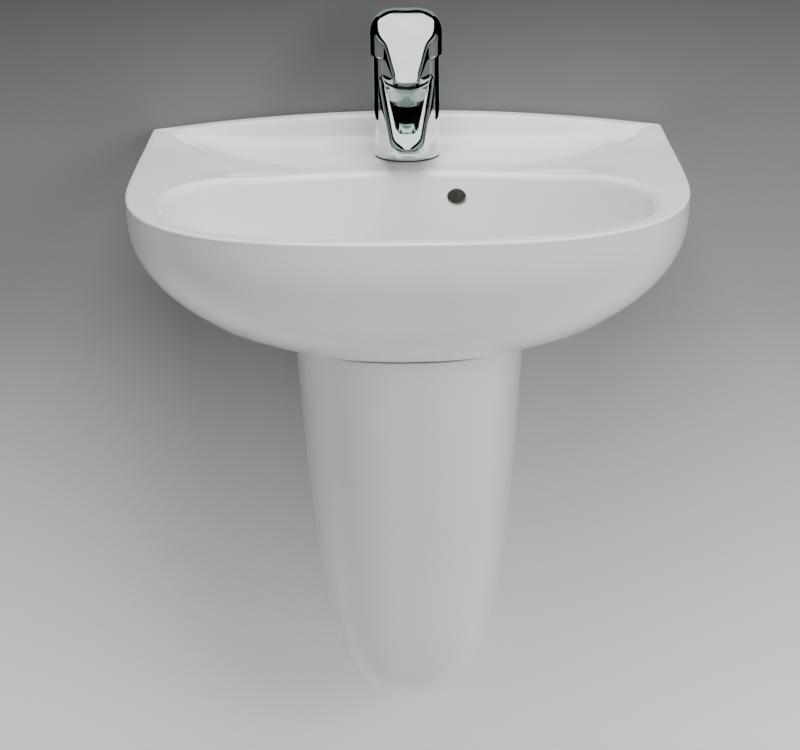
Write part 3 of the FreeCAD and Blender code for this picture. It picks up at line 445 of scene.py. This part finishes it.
# ---- Semi-pedestal ----

PED_TOP = -83
PED_FALL = 447
PED_GAP = 1
PED_HALF = 114
PED_TAPER = 26
PED_FRONT = 290
PED_SLOPE = 60
PED_SIDE_ROUND = 3.6
PED_FRONT_ROUND = 3
PED_POWER = 2.6
PED_EDGE = 1.6
PED_REACH = 193
LUG_MIDDLE = (87.3, -23, -150)
LUG_HALVES = (16, 7, 18)
LUG_HOLE_X = 84
LUG_HOLE_R = 5.5


def pedestal_point(station, part, inset):
    """A point of the semi-pedestal's outline at a part of its height."""
    kind, along = station
    sunk = min(1.0, max(0.0, part))
    narrow = (1 - sunk ** PED_SIDE_ROUND) ** (1 / PED_SIDE_ROUND)
    short = (1 - sunk ** PED_FRONT_ROUND) ** (1 / PED_FRONT_ROUND)
    half = max(0.0, (PED_HALF - PED_TAPER * part) * narrow - inset)
    reach = max(0.0, (PED_FRONT - PED_SLOPE * part) * short - inset)
    side = reach / 3
    if kind == "front":
        across, out = power_point(along, half, reach - side, PED_POWER)
        return across, -side - out
    return (half if kind == "right" else -half), -side * along


def hull_floor(x, y):
    """The height of the hull's underside over a point, less the gap."""
    low, high = 0.0, HULL_DEEP
    for _ in range(30):
        drop = (low + high) / 2
        if hull_holds(x, y, drop, PED_GAP, 1.0):
            low = drop
        else:
            high = drop
    return RIM - low


def pedestal_column(station, skin, edge):
    """One station's points from the top edge down to the tip, for the outer or the inner skin."""
    fall = PED_FALL - skin
    level = PED_TOP
    for _ in range(4):
        x, y = pedestal_point(station, (PED_TOP - level) / fall, skin)
        level = hull_floor(x, y)
    top = (PED_TOP - level) / fall
    column = []
    inward = 1 if skin == 0 else -1
    for turn in (0, 35, 65):
        slope = math.radians(turn)
        x, y = pedestal_point(station, top, skin + inward * edge * (1 - math.sin(slope)))
        column.append((x, y, level - edge * (1 - math.cos(slope))))
    start = top + edge / fall
    parts = [mix(start, 0.6, k / 14) for k in range(14)]
    turn_from = math.asin(0.6 ** 1.8)
    parts += [math.sin(mix(turn_from, math.pi / 2, k / 22)) ** (1 / 1.8) for k in range(23)]
    for part in parts:
        x, y = pedestal_point(station, part, skin)
        column.append((x, y, PED_TOP - fall * min(1.0, part)))
    return column


def make_pedestal(china):
    """The semi-pedestal: an open-backed shell, and the two lugs inside it."""
    sides = 10
    stations = [("right", k / sides) for k in range(sides)]
    stations += [("front", angle) for angle in even_angles(PED_HALF, PED_REACH, PED_POWER, 84)]
    stations += [("left", k / sides) for k in range(sides - 1, -1, -1)]
    outer = list(zip(*[pedestal_column(station, 0, PED_EDGE) for station in stations]))
    inner = list(zip(*[pedestal_column(station, WALL, PED_EDGE) for station in stations]))
    points, faces = lattice([list(ring) for ring in outer[::-1] + inner], around=False)
    count = len(stations)
    rows = len(outer)
    for k in range(rows - 1):
        for end in (0, count - 1):
            a = (rows - 1 - k) * count + end
            b = (rows - 2 - k) * count + end
            c = (rows + k) * count + end
            d = (rows + k + 1) * count + end
            faces.append((a, b, d, c))
    shell = new_piece("pedestal_shell", points, faces, 50)
    dress(shell, china, "china", "root", "semi_pedestal")
    for side, word in ((-1, "left"), (1, "right")):
        out, along, level = LUG_MIDDLE
        lug = rounded_block("lug_" + word, (out * side, along, level), LUG_HALVES, 2.5)
        start, end = (LUG_HOLE_X * side, along * 2, level), (LUG_HOLE_X * side, 0, level)
        carve(lug, [cylinder(LUG_HOLE_R, start, end, "Y", 40)])
        dress(lug, china, "china", "root", "semi_pedestal")


def rounded_block(name, middle, halves, soft):
    """A block with rounded edges."""
    work = bmesh.new()
    bmesh.ops.create_cube(work, size=2)
    bmesh.ops.scale(work, vec=Vector(halves) * MM, verts=work.verts)
    bmesh.ops.translate(work, vec=Vector(middle) * MM, verts=work.verts)
    bmesh.ops.bevel(work, geom=work.edges, offset=soft * MM, segments=4, profile=0.5, affect="EDGES")
    mesh = bpy.data.meshes.new(name)
    work.to_mesh(mesh)
    work.free()
    finish_mesh(mesh, 38)
    block = bpy.data.objects.new(name, mesh)
    bpy.context.scene.collection.objects.link(block)
    return block


# ---- Tap body and lever ----

DECK = RIM - DECK_DROP
COLUMN_R = 32
SPOUT_END = 106
SPOUT_NOSE = 17
SPOUT_ROOT = 31
SPOUT_REACH = SPOUT_END + SPOUT_NOSE
TONGUE_END = 74
TONGUE_NOSE = 12
TONGUE_ROOT = 27
LEVER_R = 35
SKIRT_R = 32.8
LEVER_LOW = 101
LEVER_TOP = 143
LEVER_SLOPE = 0.52
CROWN_BACK = 20
CROWN_DROP = 10
SPOUT_TIP = 37.5
SPOUT_SLOPE = 0.48
SPOUT_UNDER = 17
TIP_UNDER = 29
SPOUT_EDGE = 5.0
AERATOR_Y = 101
AERATOR_R = 12.1
CARTRIDGE_R = 20
CARTRIDGE_LOW = 54
FOOT_R = 17
FOOT_HIGH = 24
FOOT_LOW = 1.5
COLUMN_TOP = 101
LEVER_EDGE = 3.2
INDEX_R = 4.1
INDEX_UP = 114
BOSS_HALF = 9
STEM_HALF = 4
STEM_LOW = 108
STEM_TOP = 116.2


def tap_spot(angle, reach, level):
    """A point about the tap's axis: angle 0 is forwards, level is above the deck."""
    return (math.sin(angle) * reach, TAP_Y - math.cos(angle) * reach, DECK + level)


def tongue_holds(across, forward, root, nose, end, inset=0.0):
    """Whether a point is in the tapering, round-nosed outline of the spout or the lever's tongue."""
    root, nose = root - inset, nose - inset
    if forward < 0:
        return False
    if forward < end and abs(across) < mix(root, nose, forward / end):
        return True
    return math.hypot(across, forward - end) < nose


def outline_reach(angle, holds, longest=140.0):
    """How far the outline runs from the tap's axis at an angle."""
    near, far = 0.0, longest
    for _ in range(32):
        reach = (near + far) / 2
        if holds(math.sin(angle) * reach, math.cos(angle) * reach):
            near = reach
        else:
            far = reach
    return near


def soft_union(a, b, power=14):
    """The larger of two sizes, with the change between them rounded."""
    return (a ** power + b ** power) ** (1 / power)


def body_reach(angle, inset):
    """The tap body's outline, inset by a distance."""
    def spout(across, forward):
        return tongue_holds(across, forward, SPOUT_ROOT, SPOUT_NOSE, SPOUT_END, inset)

    return max(COLUMN_R - 0.001, outline_reach(angle, spout))


def even_rays(reach_at, steps):
    """Angles about the tap's axis that divide an outline into equal lengths."""
    fine = 2400
    spots = []
    for k in range(fine + 1):
        angle = 2 * math.pi * k / fine
        reach = reach_at(angle)
        spots.append((math.sin(angle) * reach, math.cos(angle) * reach))
    lengths = [0.0]
    for a, b in zip(spots, spots[1:]):
        lengths.append(lengths[-1] + math.dist(a, b))
    rays = []
    mark = 0
    for k in range(steps):
        target = lengths[-1] * k / steps
        while lengths[mark] < target:
            mark += 1
        rays.append(2 * math.pi * mark / fine)
    return rays


def spout_top(forward):
    """The height of the spout's top face."""
    return SPOUT_TIP + SPOUT_SLOPE * (SPOUT_REACH - forward)


def spout_low(forward):
    """The height of the spout's underside."""
    return mix(SPOUT_UNDER, TIP_UNDER, max(0.0, forward) / SPOUT_REACH)


def make_tap_body(chrome):
    """The column and spout in one flowing skin, with the seat for the cartridge."""
    columns = []
    edge = SPOUT_EDGE
    for angle in even_rays(lambda a: body_reach(a, 0), 176):
        full = body_reach(angle, 0)
        share = smooth((full - COLUMN_R) / 7)
        column = [(0, FOOT_HIGH), (FOOT_R, FOOT_HIGH), (FOOT_R, FOOT_LOW), (COLUMN_R - 0.8, FOOT_LOW)]
        column += [(COLUMN_R - 0.3, FOOT_LOW + 0.15), (COLUMN_R, FOOT_LOW + 0.7)]
        rise = []
        for k in range(1, 5):
            rise.append((COLUMN_R, mix(FOOT_LOW + 0.7, 15, k / 4)))
        for k in range(1, 5):
            reach = mix(COLUMN_R, full - 2, k / 4)
            plain = 15 + k
            level = mix(plain, spout_low(math.cos(angle) * reach), share)
            rise.append((mix(COLUMN_R, reach, share), level))
        low = spout_low(math.cos(angle) * full)
        for k, (inward, lift) in enumerate(((0.6, 0.6), (0, 2))):
            rise.append((mix(COLUMN_R, full - inward, share), mix(20 + k, low + lift, share)))
        high = spout_top(math.cos(angle) * full)
        for k in range(1, 5):
            plain = mix(21, 60, k / 4)
            rise.append((mix(COLUMN_R, full, share), mix(plain, mix(low + 2, high - edge, k / 4), share)))
        for k in range(1, 7):
            turn = math.pi / 2 * k / 6
            reach = body_reach(angle, edge * (1 - math.cos(turn)))
            level = spout_top(math.cos(angle) * reach) - edge * (1 - math.sin(turn))
            rise.append((mix(COLUMN_R, reach, share), mix(60 + k * 2, level, share)))
        inner = body_reach(angle, edge)
        for k in range(1, 9):
            reach = mix(inner, COLUMN_R, k / 8)
            level = spout_top(math.cos(angle) * reach)
            rise.append((mix(COLUMN_R, reach, share), mix(72 + k * 2, level, share)))
        column += rise
        top = min(max(column[-1][1], 72), 98)
        for k in range(1, 5):
            column.append((COLUMN_R, mix(top, 99.6, k / 4)))
        column += [(COLUMN_R - 0.3, COLUMN_TOP - 0.5), (COLUMN_R - 1, COLUMN_TOP), (CARTRIDGE_R, COLUMN_TOP)]
        column += [(CARTRIDGE_R, CARTRIDGE_LOW), (0, CARTRIDGE_LOW)]
        columns.append([tap_spot(angle, reach, level) for reach, level in column])
    points, faces = lattice([list(ring) for ring in zip(*columns)])
    body = new_piece("tap_body_cast", points, faces, 34)
    forward = TAP_Y - AERATOR_Y
    carve(body, [cylinder(AERATOR_R, (0, forward, DECK + 20), (0, forward, DECK + 37))], 34)
    dress(body, chrome, "bright_chrome", "root", "tap_body")


def lever_outline(angle, inset=0.0):
    """The lever's outline seen from above, inset by a distance."""
    def tongue(across, forward):
        return tongue_holds(across, forward, TONGUE_ROOT, TONGUE_NOSE, TONGUE_END, inset)

    reach = outline_reach(angle, tongue)
    return soft_union(LEVER_R - inset, reach) if reach > 1 else LEVER_R - inset


def lever_plane(angle, reach):
    """The height of the lever's sloping top."""
    forward = math.cos(angle) * reach
    if forward >= -CROWN_BACK:
        return LEVER_TOP - LEVER_SLOPE * (CROWN_BACK + forward)
    return LEVER_TOP - CROWN_DROP * ((-CROWN_BACK - forward) / (LEVER_R - CROWN_BACK)) ** 2


def lever_softness(angle):
    """How far the rounded edge reaches inwards and how far down, by the angle from the tongue."""
    turn = abs((angle + math.pi) % (2 * math.pi) - math.pi)
    if turn < 0.6:
        return LEVER_EDGE, LEVER_EDGE
    if turn < math.pi / 2:
        share = smooth((turn - 0.6) / (math.pi / 2 - 0.6))
        return mix(LEVER_EDGE, 9.5, share), mix(LEVER_EDGE, 11, share)
    share = smooth((turn - math.pi / 2) / (math.pi / 2))
    return mix(9.5, 22, share), mix(11, 19, share)


def make_lever(chrome):
    """The lever: a thin shell with a shield-shaped sloping top and a tapering tongue."""
    columns = []
    for angle in even_rays(lever_outline, 168):
        full = lever_outline(angle)
        forward = math.cos(angle)
        across, down = lever_softness(angle)
        tongue = smooth((full - LEVER_R) / 5)
        column = [(0, 121)]
        for reach in (20, 28):
            column.append((reach, min(lever_plane(angle, reach) - 6.5, 128)))
        inner_top = min(lever_plane(angle, SKIRT_R) - 9, 122)
        column += [(SKIRT_R - 1.4, inner_top + 1.2), (SKIRT_R, inner_top)]
        column += [(SKIRT_R, mix(inner_top, LEVER_LOW, 0.5)), (SKIRT_R, LEVER_LOW)]

        def under(reach):
            gone = max(0.0, forward * reach - SKIRT_R)
            return LEVER_LOW - 11.9 * min(1.0, gone / (TONGUE_END - SKIRT_R)) * tongue

        for share in (0.25, 0.5, 0.75):
            reach = mix(SKIRT_R, full - 0.8, share)
            column.append((reach, under(reach)))
        column.append((full - 0.8, under(full - 0.8)))
        column += [(full - 0.2, under(full) + 0.3), (full, under(full) + 1)]
        side_top = max(lever_plane(angle, full) - down, under(full) + 1.6)
        for share in (0.25, 0.5, 0.75, 1):
            column.append((full, mix(under(full) + 1, side_top, share)))
        for k in range(1, 9):
            turn = math.pi / 2 * k / 8
            reach = lever_outline(angle, across * (1 - math.cos(turn)))
            top = lever_plane(angle, reach)
            drop = min(down, max(1.2, lever_plane(angle, full) - side_top))
            column.append((reach, top - drop * (1 - math.sin(turn))))
        inner = lever_outline(angle, across)
        for share in (0.85, 0.68, 0.5, 0.3, 0.12):
            column.append((inner * share, lever_plane(angle, inner * share)))
        column.append((0, lever_plane(angle, 0)))
        columns.append([tap_spot(angle, reach, level) for reach, level in column])
    points, faces = lattice([list(ring) for ring in zip(*columns)])
    lever = new_piece("lever_cast", points, faces, 34)
    back = TAP_Y + 26
    start, end = (0, back, DECK + INDEX_UP), (0, back + 12, DECK + INDEX_UP)
    carve(lever, [cylinder(INDEX_R, start, end, "Y", 40)], 34)
    dress(lever, chrome, "bright_chrome", "lever_arm", "lever")
    boss = rounded_block("lever_boss", (0, TAP_Y, DECK + 117.5), (BOSS_HALF, BOSS_HALF, 4.5), 0.8)
    carve(boss, [stem_hole()])
    dress(boss, chrome, "bright_chrome", "lever_arm", "lever")


def stem_hole():
    """A square cutter for the stem."""
    low = Vector((-STEM_HALF, TAP_Y - STEM_HALF, DECK + STEM_LOW))
    high = Vector((STEM_HALF, TAP_Y + STEM_HALF, DECK + STEM_TOP))
    ring = [(low.x, low.y), (high.x, low.y), (high.x, high.y), (low.x, high.y)]
    points = [(x, y, z) for z in (low.z, high.z) for x, y in ring]
    faces = [(0, 1, 2, 3), (7, 6, 5, 4), (0, 4, 5, 1), (1, 5, 6, 2), (2, 6, 7, 3), (3, 7, 4, 0)]
    return new_piece("cutter", points, faces)


# ---- Materials ----

def shader(name, color, rough, metal=0.0, **sockets):
    """A material with its shader's plain numbers set."""
    material = bpy.data.materials.new(name)
    material.use_nodes = True
    bsdf = material.node_tree.nodes["Principled BSDF"]
    bsdf.inputs["Base Color"].default_value = (*color, 1)
    bsdf.inputs["Roughness"].default_value = rough
    bsdf.inputs["Metallic"].default_value = metal
    for key, value in sockets.items():
        bsdf.inputs[key.replace("_", " ")].default_value = value
    return material, bsdf


def speckle(material, bsdf, light, dark, rough, scale, bump=0.0, bump_scale=1, stretch=(1, 1, 1)):
    """Varies a material's colour, roughness and surface with noise."""
    nodes, links = material.node_tree.nodes, material.node_tree.links
    place = nodes.new("ShaderNodeTexCoord")
    mapping = nodes.new("ShaderNodeMapping")
    mapping.inputs["Scale"].default_value = stretch
    links.new(place.outputs["Object"], mapping.inputs["Vector"])
    noise = nodes.new("ShaderNodeTexNoise")
    noise.inputs["Scale"].default_value = scale
    noise.inputs["Detail"].default_value = 6
    links.new(mapping.outputs["Vector"], noise.inputs["Vector"])
    tone = nodes.new("ShaderNodeValToRGB")
    tone.color_ramp.elements[0].position = 0.3
    tone.color_ramp.elements[0].color = (*dark, 1)
    tone.color_ramp.elements[1].position = 0.7
    tone.color_ramp.elements[1].color = (*light, 1)
    links.new(noise.outputs["Fac"], tone.inputs["Fac"])
    links.new(tone.outputs["Color"], bsdf.inputs["Base Color"])
    gloss = nodes.new("ShaderNodeMapRange")
    gloss.inputs["To Min"].default_value = rough[0]
    gloss.inputs["To Max"].default_value = rough[1]
    links.new(noise.outputs["Fac"], gloss.inputs["Value"])
    links.new(gloss.outputs["Result"], bsdf.inputs["Roughness"])
    if bump:
        grain = nodes.new("ShaderNodeTexNoise")
        grain.inputs["Scale"].default_value = bump_scale
        grain.inputs["Detail"].default_value = 4
        links.new(mapping.outputs["Vector"], grain.inputs["Vector"])
        relief = nodes.new("ShaderNodeBump")
        relief.inputs["Strength"].default_value = bump
        relief.inputs["Distance"].default_value = 0.0005
        links.new(grain.outputs["Fac"], relief.inputs["Height"])
        links.new(relief.outputs["Normal"], bsdf.inputs["Normal"])
    return material


def make_materials():
    """One finish for each material slot of the record."""
    made = {}
    china = shader("glazed_china", (0.8, 0.81, 0.77), 0.12, Coat_Weight=0.5, Coat_Roughness=0.05)
    made["china"] = speckle(*china, (0.82, 0.83, 0.795), (0.785, 0.8, 0.76),
                            (0.1, 0.2), 9, 0.03, 40)
    chrome = shader("bright_chrome", (0.74, 0.8, 0.79), 0.05, 1.0)
    made["bright_chrome"] = speckle(*chrome, (0.78, 0.83, 0.82), (0.71, 0.77, 0.76),
                                    (0.02, 0.06), 60, 0.01, 300)
    zinc = shader("zinc_steel", (0.6, 0.61, 0.6), 0.35, 1.0)
    made["zinc_steel"] = speckle(*zinc, (0.66, 0.67, 0.64), (0.5, 0.52, 0.52),
                                 (0.25, 0.45), 90, 0.1, 500)
    pin = shader("steel_pin", (0.55, 0.55, 0.54), 0.25, 1.0)
    made["steel_pin"] = speckle(*pin, (0.6, 0.6, 0.59), (0.48, 0.48, 0.48),
                                (0.15, 0.3), 200, 0.05, 800)
    brass = shader("turned_brass", (0.75, 0.56, 0.27), 0.3, 1.0)
    made["brass"] = speckle(*brass, (0.8, 0.61, 0.31), (0.66, 0.47, 0.22),
                            (0.2, 0.4), 70, 0.08, 500, (1, 1, 5))
    copper = shader("drawn_copper", (0.78, 0.42, 0.28), 0.25, 1.0)
    made["copper"] = speckle(*copper, (0.84, 0.47, 0.33), (0.66, 0.33, 0.21),
                             (0.15, 0.4), 45, 0.05, 300, (1, 1, 0.3))
    white = shader("white_plastic", (0.78, 0.78, 0.76), 0.4)
    made["white_plastic"] = speckle(*white, (0.8, 0.8, 0.78), (0.74, 0.74, 0.72),
                                    (0.35, 0.5), 60, 0.06, 900)
    grey = shader("grey_plastic", (0.3, 0.31, 0.32), 0.45)
    made["grey_plastic"] = speckle(*grey, (0.33, 0.34, 0.35), (0.26, 0.27, 0.28),
                                   (0.4, 0.55), 80, 0.06, 900)
    rubber = shader("black_rubber", (0.03, 0.03, 0.03), 0.7)
    made["black_rubber"] = speckle(*rubber, (0.04, 0.04, 0.04), (0.022, 0.022, 0.022),
                                   (0.6, 0.85), 120, 0.15, 700)
    disc = shader("disc_ceramic", (0.72, 0.7, 0.66), 0.2)
    made["disc_ceramic"] = speckle(*disc, (0.75, 0.73, 0.69), (0.68, 0.66, 0.62),
                                   (0.12, 0.28), 150, 0.03, 900)
    return made


def dress_frame(materials):
    """Gives every CAD node that keeps its shape the finish of its slot."""
    slots = {part["node"]: part["material_slot"] for part in frame["record"]["subparts"]}
    for name, node in frame["nodes"].items():
        for place in node.material_slots:
            place.material = materials[slots[name]]
        node.data.shade_smooth()
        node.data.set_sharp_from_angle(angle=math.radians(32))


# ---- Stage, lights and camera ----

def sheet_of(name, corners, material):
    """A flat stage piece."""
    mesh = bpy.data.meshes.new(name)
    mesh.from_pydata([Vector(corner) for corner in corners], [], [(0, 1, 2, 3)])
    piece = bpy.data.objects.new(name, mesh)
    bpy.context.scene.collection.objects.link(piece)
    mesh.materials.append(material)
    return piece


def make_wall():
    """The studio wall, open when seen from behind: its colour is painted paler towards the bottom and darker
    towards the top, and a painted glow brightens its lower part; both stand in for the fall-off of the
    studio light.
    """
    material = bpy.data.materials.new("studio_wall")
    material.use_nodes = True
    nodes, links = material.node_tree.nodes, material.node_tree.links
    bsdf = nodes["Principled BSDF"]
    bsdf.inputs["Roughness"].default_value = 0.9
    place = nodes.new("ShaderNodeTexCoord")
    split = nodes.new("ShaderNodeSeparateXYZ")
    links.new(place.outputs["Object"], split.inputs["Vector"])
    height = nodes.new("ShaderNodeMapRange")
    height.inputs["From Min"].default_value = -0.62
    height.inputs["From Max"].default_value = 0.24
    links.new(split.outputs["Z"], height.inputs["Value"])
    # painted light: the wall's colour runs from pale at the bottom to dark at the top, standing in for the
    # studio light's fall-off
    tone = nodes.new("ShaderNodeValToRGB")
    tone.color_ramp.elements[0].color = (0.78, 0.78, 0.78, 1)
    tone.color_ramp.elements[1].color = (0.045, 0.045, 0.047, 1)
    middle = tone.color_ramp.elements.new(0.55)
    middle.color = (0.27, 0.27, 0.27, 1)
    links.new(height.outputs["Result"], tone.inputs["Fac"])
    links.new(tone.outputs["Color"], bsdf.inputs["Base Color"])
    # painted light: the wall glows, most at the bottom, to brighten its lower part though it is no lamp
    lift = nodes.new("ShaderNodeValToRGB")
    lift.color_ramp.elements[0].color = (0.22, 0.22, 0.22, 1)
    lift.color_ramp.elements[1].color = (0, 0, 0, 1)
    lift.color_ramp.elements[1].position = 0.6
    links.new(height.outputs["Result"], lift.inputs["Fac"])
    links.new(lift.outputs["Color"], bsdf.inputs["Emission Color"])
    bsdf.inputs["Emission Strength"].default_value = 1
    geometry = nodes.new("ShaderNodeNewGeometry")
    clear = nodes.new("ShaderNodeBsdfTransparent")
    blend = nodes.new("ShaderNodeMixShader")
    links.new(geometry.outputs["Backfacing"], blend.inputs["Fac"])
    links.new(bsdf.outputs["BSDF"], blend.inputs[1])
    links.new(clear.outputs["BSDF"], blend.inputs[2])
    links.new(blend.outputs["Shader"], nodes["Material Output"].inputs["Surface"])
    corners = [(-3, 0.002, -0.85), (3, 0.002, -0.85), (3, 0.002, 2.4), (-3, 0.002, 2.4)]
    return sheet_of("studio_wall", corners, material)


def make_floor():
    """The pale studio floor below the basin."""
    material, bsdf = shader("studio_floor", (0.72, 0.72, 0.71), 0.8)
    speckle(material, bsdf, (0.74, 0.74, 0.73), (0.7, 0.7, 0.69), (0.75, 0.85), 3)
    corners = [(-3, -4.5, -0.85), (3, -4.5, -0.85), (3, 1.5, -0.85), (-3, 1.5, -0.85)]
    return sheet_of("studio_floor", corners, material)


def reflector(name, corners, light):
    """A glowing or black card that only shows in reflections."""
    material = bpy.data.materials.new(name)
    material.use_nodes = True
    nodes, links = material.node_tree.nodes, material.node_tree.links
    glow = nodes.new("ShaderNodeEmission")
    glow.inputs["Color"].default_value = (*light[:3], 1)
    glow.inputs["Strength"].default_value = light[3]
    links.new(glow.outputs["Emission"], nodes["Material Output"].inputs["Surface"])
    card = sheet_of(name, corners, material)
    card.visible_camera = False
    card.visible_diffuse = False
    card.visible_shadow = False
    card.visible_transmission = False
    return card


def make_card(name, middle, aim, width, height, light):
    """A reflecting card that faces a point."""
    away = (Vector(middle) - Vector(aim)).normalized()
    side = away.cross(Vector((0, 0, 1))).normalized()
    up = side.cross(away)
    center = Vector(middle)
    turns = ((-1, -1), (1, -1), (1, 1), (-1, 1))
    corners = [center + side * width * a / 2 + up * height * b / 2 for a, b in turns]
    return reflector(name, corners, light)


def make_light(name, place, aim, size, power, color=(1, 1, 1)):
    """A soft rectangular light."""
    data = bpy.data.lights.new(name, "AREA")
    data.shape = "RECTANGLE"
    data.size, data.size_y = size
    data.energy = power
    data.color = color
    light = bpy.data.objects.new(name, data)
    light.location = place
    light.rotation_euler = (Vector(aim) - Vector(place)).to_track_quat("-Z", "Y").to_euler()
    light.visible_camera = False
    bpy.context.scene.collection.objects.link(light)
    return light


def make_studio():
    """Wall, floor, lights and the cards that the chrome reflects."""
    make_wall()
    make_floor()
    make_light("overhead", (0.1, -0.75, 1.9), (0, -0.2, 0), (1.3, 0.9), 66)
    make_light("right_front", (1.9, -2.0, 0.9), (0.1, -0.2, -0.2), (0.9, 1.3), 40)
    make_light("left_front", (-2.0, -1.9, 0.5), (0, -0.2, -0.3), (1.0, 1.4), 3)
    world = bpy.data.worlds.new("studio")
    world.use_nodes = True
    world.node_tree.nodes["Background"].inputs["Color"].default_value = (0.93, 0.96, 0.93, 1)
    world.node_tree.nodes["Background"].inputs["Strength"].default_value = 0.24
    bpy.context.scene.world = world
    make_cards()


BLACK = (0, 0, 0, 0)
TEAL = (0.58, 0.74, 0.71, 0.55)
BRIGHT = (1, 1, 0.99, 1.8)


def make_cards():
    """What the chrome reflects: a bright strip above it, black beside that, and grey round about."""
    above = 0.33
    lay_card("card_above", (-0.075, 0.075), (-0.5, 0), above, BRIGHT)
    for side, word in ((-1, "left"), (1, "right")):
        lay_card("card_above_dark_" + word, (side * 0.075, side * 0.2), (-0.5, 0), above, BLACK)
        lay_card("card_above_grey_" + word, (side * 0.2, side * 1.2), (-0.9, 0), above, TEAL)
        flank_card("card_flank_" + word, side * 0.054, (-0.075, -0.003), (0.084, 0.3), BLACK)
        make_card("card_side_" + word, (side * 0.9, -0.9, 0.25), (0, -0.1, 0.12), 0.7, 0.5, BLACK)
    stand_card("card_behind_dark", (-0.2, 0.2), (0.27, above), BLACK)
    stand_card("card_behind_grey", (-0.16, 0.16), (0.09, 0.27), TEAL)
    make_card("card_front", (0, -2.6, 0.25), (0, -0.1, 0.12), 0.9, 0.8, TEAL)


def flank_card(name, across, along, up, light):
    """A card standing beside the tap, square to the wall."""
    corners = [(across, along[0], up[0]), (across, along[1], up[0]), (across, along[1], up[1]),
               (across, along[0], up[1])]
    return reflector(name, corners, light)


def lay_card(name, across, along, level, light):
    """A card lying flat above the tap."""
    corners = [(across[0], along[0], level), (across[1], along[0], level), (across[1], along[1], level),
               (across[0], along[1], level)]
    return reflector(name, corners, light)


def stand_card(name, across, up, light):
    """A card standing just in front of the wall."""
    corners = [(across[0], 0.0005, up[0]), (across[1], 0.0005, up[0]), (across[1], 0.0005, up[1]),
               (across[0], 0.0005, up[1])]
    return reflector(name, corners, light)


def make_camera():
    """The camera that stands where the photograph was taken from."""
    data = bpy.data.cameras.new("camera")
    data.lens = 105.3
    data.sensor_width = 36
    data.shift_x = -0.011
    data.shift_y = -0.094
    camera = bpy.data.objects.new("camera", data)
    camera.location = (0, -2.3048, 0.6208)
    camera.rotation_euler = (math.radians(90 - 17.8), 0, 0)
    camera.rotation_euler.rotate_axis("Z", math.radians(-0.6))
    bpy.context.scene.collection.objects.link(camera)
    bpy.context.scene.camera = camera


materials = make_materials()
dress_frame(materials)
make_basin(materials["china"])
make_pedestal(materials["china"])
make_tap_body(materials["bright_chrome"])
make_lever(materials["bright_chrome"])
make_studio()
make_camera()
